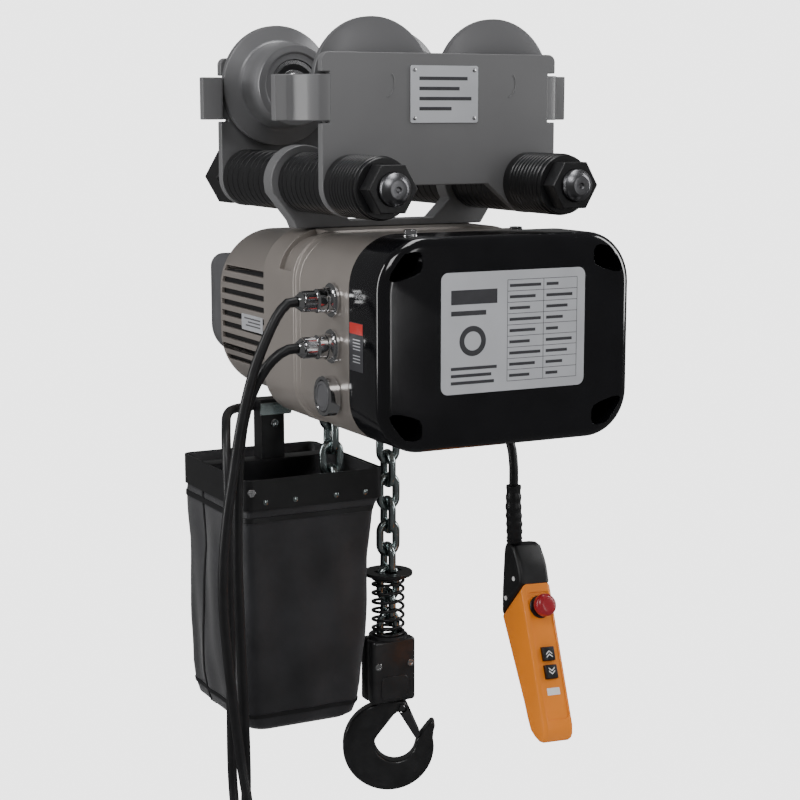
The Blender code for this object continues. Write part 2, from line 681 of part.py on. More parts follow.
# hook block
def limit_stop(mats):
    disc = [(0, SPRING_TOP + GAP), (0.0355, SPRING_TOP + GAP), (0.0355, -0.6332), (0, -0.6332)]
    plate = finish(turned(disc, (0, HANG_Y, 0), "z"), "limit_plate", mats["black_oxide"],
                   (0, HANG_Y, SPRING_TOP))
    long, short = 0.0203, 0.0070
    for n, (dx, dy) in enumerate(((long, short), (short, long))):
        slot = box_tool(f"guide_cross_{n}", (-dx, HANG_Y - dy, -0.7), (dx, HANG_Y + dy, -0.6))
        boolean(plate, slot)
    wire, mean, turns, steps = 0.0020, 0.0224, 8, 14
    low, high = SPRING_BOTTOM + wire + GAP, SPRING_TOP - wire - GAP
    closed = 0.0046
    points = []
    for i in range(turns * steps + 1):
        turn = i / steps
        if turn < 1:
            z = low + closed * turn
        elif turn > turns - 1:
            z = high - closed * (turns - turn)
        else:
            z = low + closed + (high - low - 2 * closed) * (turn - 1) / (turns - 2)
        angle = 2 * math.pi * turn
        points.append((mean * math.cos(angle), HANG_Y + mean * math.sin(angle), z))
    tube("limit_spring", points, wire, mats["black_oxide"], 0)


def hook_block(mats):
    half_w, half_d = BLOCK_W / 2, BLOCK_D / 2
    block = finish(box((-half_w, HANG_Y - half_d, BLOCK_BOTTOM),
                       (half_w, HANG_Y + half_d, BLOCK_TOP), 0.007, 2),
                   "hook_block", mats["hook_black"], (0, HANG_Y, BLOCK_TOP))
    boolean(block, box_tool("guide_block_pocket", (-0.0202, HANG_Y - 0.0070, -0.752),
                            (0.0202, HANG_Y + 0.0070, -0.70)))
    boolean(block, cylinder_tool("guide_block_bore", (0, HANG_Y, 0), 0.0115, -0.85, -0.785, "z"))


def hook_frame():
    """Matrix from the hook's own plane (X across, Y thickness, Z up) to the object."""
    return (Matrix.Translation((0, HANG_Y, HOOK_Z))
            @ Matrix.Rotation(HOOK_TURN, 4, "Z"))


def hook_outline():
    points = [(0.015, 0.0697), (-0.015, 0.0697)]
    points += arc((0, 0), 0.067, 106, 360, 18)
    points += [(0.065, 0.020), (0.0685, 0.031), (0.0665, 0.037), (0.0615, 0.037), (0.049, 0.021)]
    points += arc((0.010, 0.007), 0.030, -8, -180, 10)
    points += [(-0.018, 0.013), (0.013, 0.0545), (0.023, 0.0520), (0.0275, 0.0600),
               (0.0235, 0.0680)]
    return points


def hook(mats):
    bm = bevel_rims(extruded(hook_outline(), -0.012, 0.012), 1, 0.0045)
    bmesh.ops.transform(bm, matrix=hook_frame(), verts=bm.verts)
    obj = finish(bm, "hook", mats["hook_black"], (0, HANG_Y, BLOCK_BOTTOM))
    shank = turned([(0, -0.840), (0.0112, -0.840), (0.0112, -0.7853), (0, -0.7853)],
                   (0, HANG_Y, 0), "z")
    boolean(obj, finish(shank, "guide_shank", guide_material()), "UNION")


def hook_latch(mats):
    pivot, nose, half = Vector((0.020, 0.060)), Vector((0.0425, 0.0165)), 0.004
    along = (nose - pivot).normalized()
    across = Vector((-along.y, along.x)) * half
    turn = math.degrees(math.atan2(-across.y, -across.x))
    points = [nose - across, nose + across] + arc(pivot, 0.0075, turn + 180, turn, 8)
    bm = extruded(points, -0.0147, 0.0147)
    bmesh.ops.transform(bm, matrix=hook_frame(), verts=bm.verts)
    place = hook_frame() @ Vector((pivot.x, 0, pivot.y))
    latch = finish(bm, "hook_latch", mats["bearing_steel"], place)
    room = turned([(0, -0.01225), (0.0165, -0.01225), (0.0165, 0.01225), (0, 0.01225)],
                  (pivot.x, 0, pivot.y))
    bmesh.ops.transform(room, matrix=hook_frame(), verts=room.verts)
    boolean(latch, finish(room, "guide_latch_room", guide_material()))


# chain bag
BAG_RINGS = (                   # height, then how far each side is drawn in: -X, +X, -Y, +Y
    (-0.4745, 0.0033, 0.0033, 0.0033, 0.0033),
    (-0.5170, 0.0033, 0.0033, 0.0033, 0.0033),
    (-0.5300, 0.0010, 0.0155, 0.0010, 0.0020),
    (-0.7200, -0.0040, 0.0200, -0.0040, 0.0020),
    (-0.7860, 0.0000, 0.0340, 0.0020, 0.0080),
    (-0.8120, 0.0100, 0.0460, 0.0100, 0.0160),
    (-0.8290, 0.0240, 0.0560, 0.0200, 0.0260),
    (BAG_FLOOR, 0.0400, 0.0700, 0.0340, 0.0400),
)


def bag_ring(z, left, right, front, back, skin=0.0):
    return flat_ring(BAG_X0 + left + skin, BAG_X1 - right - skin, BAG_Y0 + front + skin,
                     BAG_Y1 - back - skin, 0.012, z)


def build_bag(mats):
    def strip(inset, z):
        return flat_ring(BAG_X0 + inset, BAG_X1 - inset, BAG_Y0 + inset, BAG_Y1 - inset,
                         0.014 - inset, z)

    rings = [strip(0, FRAME_LOW), strip(0, BAG_RIM), strip(STRIP, BAG_RIM),
             strip(STRIP, FRAME_LOW)]
    frame = finish(loft(rings, closed=True), "bag_frame", mats["black_oxide"])
    bar = finish(box((BAG_X0 + 0.001, 0.080, -0.4742), (BAG_X1 - 0.001, 0.110, -0.4732)),
                 "guide_crossbar", guide_material())
    boolean(frame, bar, "UNION")
    skin = 0.002
    outer = [bag_ring(*ring) for ring in BAG_RINGS]
    inner = [bag_ring(z + (skin if z < -0.8 else 0), *sides, skin) for z, *sides in BAG_RINGS]
    inner[0], outer[0] = ([(x, y, z - 0.0003) for x, y, z in ring] for ring in
                          (inner[0], outer[0]))
    finish(loft(list(reversed(inner)) + outer), "chain_bag", mats["bag_cloth"])
    post = [(-0.155, -0.3856), (-0.050, -0.3856), (-0.050, -0.3906), (-0.117, -0.3906),
            (-0.117, -0.4729), (-0.153, -0.4729), (-0.153, -0.3906), (-0.155, -0.3906)]
    finish(extruded(post, 0.080, 0.110), "bag_post", mats["black_oxide"])


# pendant
def pendant_frame():
    """Matrix from panel axes (X across, Y down the panel, Z out of it) to the object."""
    down = Vector(PENDANT_DOWN).normalized()
    across = (Vector((1, 0, 0)) - down * down.x).normalized()
    out = down.cross(across)
    rows = Matrix((across, down, out)).transposed().to_4x4()
    return Matrix.Translation(PENDANT_TOP) @ rows


def pendant_piece(name, bm, mat, origin=(0, 0, 0)):
    bmesh.ops.transform(bm, matrix=pendant_frame(), verts=bm.verts)
    return finish(bm, name, mat, pendant_frame() @ Vector(origin))


def build_pendant(mats):
    body = ((0, 0), (0.199, 0), (0.212, -0.004), (0.218, -0.014), (0.216, -0.026),
            (0.198, -0.044), (0.160, -0.0495), (0.0307, -0.0717))
    head = ((-0.0004, -0.0002), (-0.024, 0.0009), (-0.046, -0.0040), (-0.0559, -0.0069),
            (-0.0657, -0.0288), (-0.049, -0.0406), (-0.0032, -0.0604), (0.0303, -0.0719))
    half = PENDANT_HALF
    shell = bevel_rims(extruded(body, -half, half, "yz"), 0, 0.006, 2)
    case = pendant_piece("pendant_body", shell, mats["pendant_orange"])
    shell = bevel_rims(extruded(head, -half, half, "yz"), 0, 0.006, 2)
    pendant_piece("pendant_head", shell, mats["rubber"])
    stop, up, down = 0.033, 0.099, 0.124
    stem = turned([(0, -0.012), (0.0105, -0.012), (0.0105, 0.01), (0, 0.01)], (0, stop, 0), "z")
    boolean(case, cutter(pendant_piece("guide_stop", stem, guide_material())))
    knob = turned([(0, -0.007), (0.010, -0.007), (0.010, 0.006), (0.015, 0.009), (0.016, 0.017),
                   (0.013, 0.022), (0, 0.023)], (0, stop, 0), "z")
    pendant_piece("stop_button", knob, mats["button_red"], (0, stop, 0))
    for name, v in (("up_button", up), ("down_button", down)):
        hole = box((-0.0095, v - 0.0098, -0.010), (0.0095, v + 0.0098, 0.01))
        boolean(case, cutter(pendant_piece(f"guide_{name}", hole, guide_material())))
        key = box((-0.0092, v - 0.0095, -0.006), (0.0092, v + 0.0095, 0.004), 0.0012, 1)
        pendant_piece(name, key, mats["rubber"], (0, v, 0))


def pendant_boot(mats):
    rings = []
    stations = ((0.1200, -0.1700, -0.4900, 0.0100), (0.1200, -0.1700, -0.5200, 0.0110),
                (0.1225, -0.1685, -0.5450, 0.0112), (0.1270, -0.1620, -0.5680, 0.0108),
                (0.1310, -0.1550, -0.5775, 0.0108))
    for x, y, z, radius in stations:
        rings.append([(x + u, y + v, z) for u, v in arc((0, 0), radius, 0, 337.5, 15)])
    finish(loft(rings), "pendant_boot", mats["rubber"])


# cables
def build_cables(mats):
    rubber = mats["rubber"]
    tube("power_cable", smooth_route(POWER_ROUTE), CABLE_R, rubber, 2)
    tube("control_cable", smooth_route(CONTROL_ROUTE, 0.030), CABLE_R, rubber, 2)
    x, y = POWER_ROUTE[-1][0], -0.221
    top, foot, half, deep = -0.8920, -1.130, 0.046, 0.0335
    outline = arc((x, top - half), half, 0, 180, 8) + arc((x, foot + half), half, 180, 360, 8)
    finish(extruded(outline, y - deep, y + deep), "power_hank", rubber)
    plug = [(0, foot - GAP), (0.012, foot - GAP), (0.014, -1.150), (0.026, -1.160),
            (0.028, -1.200), (0.031, -1.202), (0.031, -1.232), (0, -1.232)]
    finish(turned(plug, (x, -0.1942, 0), "z"), "power_plug", mats["cap_grey"])


def main():
    clear_scene()
    mats = make_materials()
    build_trolley(mats)
    control_cover(mats)
    control_housing(mats)
    chain_housing(mats)
    chain_guide(mats)
    motor_cover(mats)
    motor_end_cap(mats)
    side_fittings(mats)
    drive_train(mats)
    motor_stator(mats)
    finish(box((-0.080, -0.3317, -0.330), (0.090, -0.270, -0.200), 0.004, 1), "contactor",
           mats["cap_grey"])
    build_chains(mats)
    limit_stop(mats)
    hook_block(mats)
    hook(mats)
    hook_latch(mats)
    build_bag(mats)
    build_pendant(mats)
    pendant_boot(mats)
    build_cables(mats)


main()
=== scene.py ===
import math

import bmesh
import bpy
from mathutils import Matrix, Vector


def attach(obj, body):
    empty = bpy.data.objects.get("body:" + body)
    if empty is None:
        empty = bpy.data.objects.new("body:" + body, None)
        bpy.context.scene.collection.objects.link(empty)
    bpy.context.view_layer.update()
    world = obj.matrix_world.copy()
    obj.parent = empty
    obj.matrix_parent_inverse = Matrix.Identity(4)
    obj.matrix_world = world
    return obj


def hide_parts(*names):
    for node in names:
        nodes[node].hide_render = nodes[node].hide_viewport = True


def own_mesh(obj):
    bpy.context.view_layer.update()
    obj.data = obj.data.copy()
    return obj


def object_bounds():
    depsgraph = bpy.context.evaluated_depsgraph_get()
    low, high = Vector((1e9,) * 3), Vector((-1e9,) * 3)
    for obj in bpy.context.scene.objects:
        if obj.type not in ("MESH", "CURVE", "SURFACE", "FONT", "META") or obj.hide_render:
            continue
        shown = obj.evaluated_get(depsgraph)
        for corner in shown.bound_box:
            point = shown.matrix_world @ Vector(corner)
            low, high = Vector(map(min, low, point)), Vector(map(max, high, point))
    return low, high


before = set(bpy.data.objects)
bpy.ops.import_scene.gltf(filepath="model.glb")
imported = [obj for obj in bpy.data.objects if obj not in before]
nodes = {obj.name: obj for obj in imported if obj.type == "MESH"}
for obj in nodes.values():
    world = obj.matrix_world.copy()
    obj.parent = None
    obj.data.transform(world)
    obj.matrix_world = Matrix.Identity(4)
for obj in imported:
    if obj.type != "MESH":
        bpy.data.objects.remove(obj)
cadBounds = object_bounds()


# camera
cameraSettings = {"place": (-1.1494, -2.2656, 0.0258), "tilt": 80.8, "turn": -27.5, "lens": 80.62}


def addCamera():
    data = bpy.data.cameras.new("camera")
    data.lens = cameraSettings["lens"]
    data.sensor_width = 36
    camera = bpy.data.objects.new("camera", data)
    camera.location = cameraSettings["place"]
    camera.rotation_euler = (math.radians(cameraSettings["tilt"]), 0,
                             math.radians(cameraSettings["turn"]))
    bpy.context.scene.collection.objects.link(camera)
    bpy.context.scene.camera = camera


# shapes
def arc(centre, radius, start, end, steps):
    points = []
    for i in range(steps + 1):
        angle = math.radians(start + (end - start) * i / steps)
        points.append((centre[0] + radius * math.cos(angle), centre[1] + radius * math.sin(angle)))
    return points


def roundedOutline(x0, x1, z0, z1, radius, steps=8):
    points = arc((x1 - radius, z1 - radius), radius, 0, 90, steps)
    points += arc((x0 + radius, z1 - radius), radius, 90, 180, steps)
    points += arc((x0 + radius, z0 + radius), radius, 180, 270, steps)
    return points + arc((x1 - radius, z0 + radius), radius, 270, 360, steps)


spinTurns = {
    "x": Matrix(((0, 0, 1), (1, 0, 0), (0, 1, 0))),
    "y": Matrix(((1, 0, 0), (0, 0, 1), (0, 1, 0))),
    "z": Matrix.Identity(3),
}


def turned(profile, centre, axis="y", steps=72, bored=False):
    bm = bmesh.new()
    verts = [bm.verts.new((radius, 0, height)) for radius, height in profile]
    for a, b in zip(verts, verts[1:]):
        bm.edges.new((a, b))
    if bored:
        bm.edges.new((verts[-1], verts[0]))
    bmesh.ops.spin(bm, geom=bm.verts[:] + bm.edges[:], angle=2 * math.pi, steps=steps,
                   axis=(0, 0, 1), cent=(0, 0, 0), use_merge=True)
    bmesh.ops.remove_doubles(bm, verts=bm.verts, dist=1e-6)
    bmesh.ops.transform(bm, matrix=spinTurns[axis].to_4x4(), verts=bm.verts)
    shift = Vector(centre)
    shift["xyz".index(axis)] = 0
    bmesh.ops.translate(bm, verts=bm.verts, vec=shift)
    return bm


def extruded(outline, low, high, plane="xz"):
    axis = next(i for i, letter in enumerate("xyz") if letter not in plane)
    first, second = ("xyz".index(letter) for letter in plane)
    bm = bmesh.new()
    verts = []
    for u, v in outline:
        point = [0.0, 0.0, 0.0]
        point[first], point[second], point[axis] = u, v, low
        verts.append(bm.verts.new(point))
    out = bmesh.ops.extrude_face_region(bm, geom=[bm.faces.new(verts)])
    step = Vector((0, 0, 0))
    step[axis] = high - low
    moved = [v for v in out["geom"] if isinstance(v, bmesh.types.BMVert)]
    bmesh.ops.translate(bm, vec=step, verts=moved)
    return bm


def loft(rings, closed=False, capped=True):
    bm = bmesh.new()
    loops = [[bm.verts.new(point) for point in ring] for ring in rings]
    pairs = list(zip(loops, loops[1:]))
    if closed:
        pairs.append((loops[-1], loops[0]))
    for first, second in pairs:
        for i in range(len(first)):
            bm.faces.new((first[i - 1], first[i], second[i], second[i - 1]))
    if capped and not closed:
        bm.faces.new(loops[0])
        bm.faces.new(loops[-1])
    return bm


def block(low, high, bevel=0.0, segments=2):
    bm = bmesh.new()
    bmesh.ops.create_cube(bm, size=1.0)
    low, high = Vector(low), Vector(high)
    bmesh.ops.scale(bm, vec=high - low, verts=bm.verts)
    bmesh.ops.translate(bm, vec=(high + low) / 2, verts=bm.verts)
    if bevel:
        bmesh.ops.bevel(bm, geom=bm.edges[:], offset=bevel, segments=segments, profile=0.5,
                        affect="EDGES", material=-1)
    return bm


def hexPrism(centre, corner, low, high, axis="z", start=0.0, chamfer=0.0008):
    def ring(radius, height):
        points = []
        for n in range(6):
            angle = math.radians(start + 60 * n)
            u, v = radius * math.cos(angle), radius * math.sin(angle)
            local = {"x": (0, u, v), "y": (u, 0, v), "z": (u, v, 0)}[axis]
            point = Vector(centre) + Vector(local)
            point["xyz".index(axis)] = height
            points.append(point)
        return points

    step = chamfer if high > low else -chamfer
    return loft([ring(corner - chamfer, low), ring(corner, low + step), ring(corner, high - step),
                 ring(corner - chamfer, high)])


def barAlong(route, radius, sides=12, cyclic=False):
    # round bar swept along points, its rings turned with the route
    points = [Vector(p) for p in route]
    count = len(points)
    rings, side = [], None
    for i, point in enumerate(points):
        before = points[i - 1] if (i or cyclic) else point
        after = points[(i + 1) % count] if (i + 1 < count or cyclic) else point
        along = (after - before).normalized()
        if side is None:
            side = along.orthogonal().normalized()
        side = (side - along * side.dot(along)).normalized()
        up = along.cross(side)
        rings.append([point + side * (radius * math.cos(2 * math.pi * k / sides))
                      + up * (radius * math.sin(2 * math.pi * k / sides)) for k in range(sides)])
    return loft(rings, closed=cyclic)


def merged(*parts):
    result = bmesh.new()
    for part in parts:
        mesh = bpy.data.meshes.new("part")
        part.to_mesh(mesh)
        part.free()
        result.from_mesh(mesh)
        bpy.data.meshes.remove(mesh)
    return result


def cut(body, *tools):
    # body less the tools, as a new bmesh
    def holder(bm):
        bmesh.ops.recalc_face_normals(bm, faces=bm.faces)
        mesh = bpy.data.meshes.new("cutPart")
        bm.to_mesh(mesh)
        bm.free()
        obj = bpy.data.objects.new("cutPart", mesh)
        bpy.context.scene.collection.objects.link(obj)
        return obj

    main = holder(body)
    helpers = [holder(tool) for tool in tools]
    for helper in helpers:
        modifier = main.modifiers.new("cut", "BOOLEAN")
        modifier.operation, modifier.solver, modifier.object = "DIFFERENCE", "EXACT", helper
    shape = main.evaluated_get(bpy.context.evaluated_depsgraph_get())
    mesh = bpy.data.meshes.new_from_object(shape)
    result = bmesh.new()
    result.from_mesh(mesh)
    for obj in (main, *helpers):
        bpy.data.objects.remove(obj, do_unlink=True)
    bpy.data.meshes.remove(mesh)
    return result


def smoothRoute(points, spacing):
    # Catmull-Rom curve through the points, evenly spaced
    points = [Vector(p) for p in points]
    padded = [2 * points[0] - points[1]] + points + [2 * points[-1] - points[-2]]
    fine = []
    for a, b, c, d in zip(padded, padded[1:], padded[2:], padded[3:]):
        for i in range(12):
            t = i / 12
            fine.append(0.5 * (2 * b + (c - a) * t + (2 * a - 5 * b + 4 * c - d) * t ** 2
                               + (3 * b - a - 3 * c + d) * t ** 3))
    fine.append(points[-1])
    length = sum((q - p).length for p, q in zip(fine, fine[1:]))
    count = max(2, round(length / spacing))
    result, walked, target = [fine[0]], 0.0, length / count
    for p, q in zip(fine, fine[1:]):
        step = (q - p).length
        while step > 0 and walked + step >= target and len(result) < count:
            result.append(p.lerp(q, (target - walked) / step))
            target += length / count
        walked += step
    return result + [fine[-1]]


# materials
finishes = {
    # slot, colour, roughness, metallic, coat, colour change, grain per metre, bump, fine grain
    "trolleyGrey": ("trolley_paint", (0.135, 0.135, 0.138), 0.42, 0.0, 0.20, 0.05, 9, 0.05, 900),
    "wheelSteel": ("trolley_paint", (0.165, 0.165, 0.17), 0.36, 0.35, 0.1, 0.08, 30, 0.06, 700),
    "brightSteel": ("bearing_steel", (0.55, 0.55, 0.56), 0.26, 1.0, 0.0, 0.08, 60, 0.05, 900),
    "greySteel": ("bearing_steel", (0.20, 0.20, 0.21), 0.34, 1.0, 0.0, 0.12, 60, 0.08, 700),
    "satinBlack": ("black_oxide", (0.012, 0.012, 0.013), 0.34, 0.2, 0.15, 0.15, 50, 0.06, 600),
    "glossBlack": ("gloss_black", (0.004, 0.004, 0.005), 0.11, 0.0, 0.5, 0.20, 20, 0.010, 500),
    "bodyBeige": ("cast_body", (0.315, 0.285, 0.262), 0.33, 0.45, 0.25, 0.04, 12, 0.05, 1100),
    "capGrey": ("cap_grey", (0.085, 0.085, 0.09), 0.46, 0.0, 0.1, 0.08, 30, 0.10, 1200),
    "chrome": ("chrome", (0.70, 0.70, 0.71), 0.10, 1.0, 0.0, 0.04, 50, 0.01, 900),
    "zinc": ("chain_steel", (0.44, 0.50, 0.50), 0.22, 1.0, 0.0, 0.16, 70, 0.08, 800),
    "forgedBlack": ("hook_black", (0.013, 0.013, 0.014), 0.34, 0.0, 0.35, 0.25, 60, 0.20, 420),
    "pendantOrange": ("pendant_orange", (0.80, 0.215, 0.003), 0.38, 0.0, 0.1, 0.03, 20, 0.10, 1600),
    "buttonRed": ("button_red", (0.30, 0.008, 0.016), 0.32, 0.0, 0.3, 0.06, 60, 0.04, 900),
    "softBlack": ("rubber", (0.009, 0.009, 0.010), 0.40, 0.0, 0.0, 0.15, 60, 0.12, 1200),
    "keyWhite": ("rubber", (0.72, 0.72, 0.72), 0.45, 0.0, 0.0, 0.03, 60, 0.03, 900),
    "labelSilver": ("gloss_black", (0.60, 0.61, 0.64), 0.33, 0.45, 0.2, 0.03, 25, 0.02, 900),
    "printDark": ("gloss_black", (0.035, 0.035, 0.04), 0.45, 0.0, 0.0, 0.10, 90, 0.02, 900),
    "stickerRed": ("gloss_black", (0.50, 0.025, 0.02), 0.38, 0.0, 0.1, 0.05, 90, 0.02, 900),
    "copperWire": ("copper", (0.62, 0.27, 0.13), 0.35, 1.0, 0.0, 0.15, 120, 0.20, 900),
}
materials = {}


def noiseNode(tree, vector, scale, detail=3.0):
    node = tree.nodes.new("ShaderNodeTexNoise")
    node.inputs["Scale"].default_value = scale
    node.inputs["Detail"].default_value = detail
    tree.links.new(vector, node.inputs["Vector"])
    return node.outputs["Fac"]


def spreadColour(tree, value, colour, change):
    ramp = tree.nodes.new("ShaderNodeValToRGB")
    low, high = ramp.color_ramp.elements
    low.position, high.position = 0.3, 0.7
    low.color = (*(max(c * (1 - change), 0.0) for c in colour), 1)
    high.color = (*(min(c * (1 + change), 1.0) for c in colour), 1)
    tree.links.new(value, ramp.inputs["Fac"])
    return ramp.outputs["Color"]


def makeFinish(name, stretch=(1, 1, 1), suffix=""):
    slotName, colour, roughness, metallic, coat, change, grain, bump, fine = finishes[name]
    material = bpy.data.materials.new(name + suffix)
    material.use_nodes = True
    tree = material.node_tree
    shader = tree.nodes["Principled BSDF"]
    shader.inputs["Metallic"].default_value = metallic
    shader.inputs["Coat Weight"].default_value = coat
    shader.inputs["Coat Roughness"].default_value = 0.12
    place = tree.nodes.new("ShaderNodeTexCoord")
    mapping = tree.nodes.new("ShaderNodeMapping")
    mapping.inputs["Scale"].default_value = stretch
    tree.links.new(place.outputs["Object"], mapping.inputs["Vector"])
    vector = mapping.outputs["Vector"]
    broad = noiseNode(tree, vector, grain)
    tree.links.new(spreadColour(tree, broad, colour, change), shader.inputs["Base Color"])
    spread = tree.nodes.new("ShaderNodeMapRange")
    spread.inputs["To Min"].default_value = max(roughness - 0.06, 0.04)
    spread.inputs["To Max"].default_value = roughness + 0.06
    tree.links.new(broad, spread.inputs["Value"])
    tree.links.new(spread.outputs["Result"], shader.inputs["Roughness"])
    relief = tree.nodes.new("ShaderNodeBump")
    relief.inputs["Strength"].default_value = bump
    relief.inputs["Distance"].default_value = 0.0006
    tree.links.new(noiseNode(tree, vector, fine, 2.0), relief.inputs["Height"])
    tree.links.new(relief.outputs["Normal"], shader.inputs["Normal"])
    return material


def makeMaterials():
    for name in finishes:
        materials[name] = makeFinish(name)
    # turned parts whose fine grooves run round the Y axis
    for name in ("satinBlack", "wheelSteel", "brightSteel"):
        materials[name + "Turned"] = makeFinish(name, (0.03, 1.6, 0.03), "Turned")
        finishes[name + "Turned"] = finishes[name]


def addPiece(bm, name, body, finish, stands=(), smooth=35, bevel=0.0, segments=2):
    bmesh.ops.remove_doubles(bm, verts=bm.verts, dist=1e-6)
    bmesh.ops.recalc_face_normals(bm, faces=bm.faces)
    mesh = bpy.data.meshes.new(name)
    bm.to_mesh(mesh)
    bm.free()
    mesh.shade_smooth()
    mesh.set_sharp_from_angle(angle=math.radians(smooth))
    mesh.materials.append(materials[finish])
    obj = bpy.data.objects.new(name, mesh)
    bpy.context.scene.collection.objects.link(obj)
    if bevel:
        modifier = obj.modifiers.new("edges", "BEVEL")
        modifier.width, modifier.segments = bevel, segments
        modifier.limit_method, modifier.angle_limit = "ANGLE", math.radians(smooth)
        modifier.harden_normals = True
    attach(obj, body)
    if stands:
        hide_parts(*stands)
    return obj


# cords
cordSettings = {"radius": 0.0065, "spacing": 0.012}
powerRoute = [
    (-0.2282, -0.213, -0.2130), (-0.2400, -0.213, -0.2141), (-0.2540, -0.214, -0.228),
    (-0.2670, -0.215, -0.250), (-0.285, -0.215, -0.289), (-0.298, -0.216, -0.328),
    (-0.309, -0.217, -0.372), (-0.319, -0.219, -0.425), (-0.329, -0.222, -0.475),
    (-0.336, -0.224, -0.530), (-0.338, -0.225, -0.590), (-0.333, -0.225, -0.660),
    (-0.325, -0.224, -0.730), (-0.318, -0.228, -0.800), (-0.315, -0.241, -0.850),
    (-0.315, -0.2478, -0.8900), (-0.323, -0.2478, -0.925), (-0.342, -0.2478, -0.965),
]
powerTail = [(-0.3545, -0.1942, -0.985), (-0.3500, -0.1942, -1.030), (-0.3350, -0.1942, -1.070),
             (-0.3200, -0.1942, -1.100), (-0.315, -0.1942, -1.1290)]
controlRoute = [
    (-0.2282, -0.213, -0.2720), (-0.2400, -0.213, -0.2727), (-0.2540, -0.211, -0.280),
    (-0.2690, -0.208, -0.296), (-0.284, -0.205, -0.322), (-0.297, -0.202, -0.362),
    (-0.304, -0.202, -0.412), (-0.307, -0.202, -0.470), (-0.308, -0.202, -0.540),
    (-0.306, -0.201, -0.620), (-0.303, -0.199, -0.700), (-0.299, -0.196, -0.780),
    (-0.296, -0.190, -0.850), (-0.293, -0.176, -0.900), (-0.288, -0.152, -0.930),
    (-0.283, -0.124, -0.925), (-0.280, -0.106, -0.890), (-0.279, -0.099, -0.840),
    (-0.277, -0.095, -0.760), (-0.275, -0.092, -0.660), (-0.273, -0.088, -0.560),
    (-0.271, -0.080, -0.480), (-0.265, -0.062, -0.425), (-0.250, -0.025, -0.400),
    (-0.222, 0.040, -0.396), (-0.185, 0.105, -0.400), (-0.135, 0.145, -0.405),
    (-0.075, 0.150, -0.408), (-0.010, 0.118, -0.408), (0.048, 0.055, -0.407),
    (0.090, -0.025, -0.407), (0.112, -0.090, -0.408), (0.119, -0.135, -0.414),
    (0.120, -0.160, -0.432), (0.120, -0.169, -0.460), (0.120, -0.170, -0.4895),
]
hankSettings = {"middle": -0.315, "half": 0.0395, "top": -0.938, "foot": -1.084, "turns": 3,
                "near": -0.2478, "step": 0.01787}


def hankPoints():
    # oval turns side by side; each moves over by one step on the right of its top bend
    s = hankSettings
    points = []
    for turn in range(s["turns"]):
        y = s["near"] + s["step"] * turn
        top = s["top"] - 0.055 if turn == 0 else s["top"] - 0.030
        for z in (top, s["top"] - 0.075, s["top"] - 0.110):
            points.append((s["middle"] - s["half"], y, z))
        for x, z in arc((s["middle"], s["foot"]), s["half"], 180, 360, 8):
            points.append((x, y, z))
        for z in (s["top"] - 0.110, s["top"] - 0.070, s["top"] - 0.030):
            points.append((s["middle"] + s["half"], y, z))
        for n, (x, z) in enumerate(arc((s["middle"], s["top"]), s["half"], 0, 180, 8)):
            over = min(n / 4, 1)
            points.append((x, y + s["step"] * over * over * (3 - 2 * over), z))
    return points


def addCordCurve(name, route):
    curve = bpy.data.curves.new(name, "CURVE")
    curve.dimensions = "3D"
    curve.bevel_depth = cordSettings["radius"]
    curve.bevel_resolution = 6
    curve.use_fill_caps = True
    spline = curve.splines.new("POLY")
    spline.points.add(len(route) - 1)
    for point, place in zip(spline.points, route):
        point.co = (*place, 1.0)
    spline.use_smooth = True
    curve.materials.append(materials["softBlack"])
    obj = bpy.data.objects.new(name, curve)
    bpy.context.scene.collection.objects.link(obj)
    return obj


def routeLength(route):
    return sum((Vector(b) - Vector(a)).length for a, b in zip(route, route[1:]))


def addCords():
    route = smoothRoute(powerRoute + hankPoints() + powerTail, cordSettings["spacing"])
    power = addCordCurve("powerCord", route)
    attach(power, "hoist")
    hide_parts("power_cable", "power_hank")
    plug = addPiece(turned([(0, -1.1300), (0.0115, -1.1300), (0.0120, -1.1345), (0.0135, -1.150),
                            (0.0255, -1.160), (0.0275, -1.163), (0.0280, -1.200),
                            (0.0305, -1.2015), (0.0310, -1.204), (0.0310, -1.230),
                            (0.0300, -1.232), (0, -1.232)], (-0.315, -0.1942, 0), "z"),
                    "powerPlug", "hoist", "capGrey", ("power_plug",))
    print("power cord", round(routeLength(route), 3))
    route = smoothRoute(controlRoute, cordSettings["spacing"])
    control = addCordCurve("controlCord", route)
    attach(control, "hoist")
    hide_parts("control_cable")
    print("control cord", round(routeLength(route), 3))


# trolley
trolley = {"plateHalf": 0.174, "plateTop": 0.099, "plateBottom": -0.072, "plateIn": 0.164,
           "plateOut": 0.178, "wheelX": 0.091, "wheelZ": 0.060, "shaftX": 0.133,
           "shaftZ": -0.071, "hangY": -0.020}


def plateOutline():
    corner, lobe = 0.010, 0.041
    half, top, low = trolley["plateHalf"], trolley["plateTop"], trolley["plateBottom"]
    notch = ((half, 0.009), (0.163, 0.009), (0.163, 0.074), (half, 0.074))
    points = arc((half - corner, top - corner), corner, 0, 90, 8)
    points += arc((corner - half, top - corner), corner, 90, 180, 8)
    points += [(-x, z) for x, z in reversed(notch)]
    points += arc((-trolley["shaftX"], trolley["shaftZ"]), lobe, 180, 310, 26)
    points += [(-0.070, low), (0.070, low)]
    points += arc((trolley["shaftX"], trolley["shaftZ"]), lobe, 230, 360, 26)
    return points + list(notch)


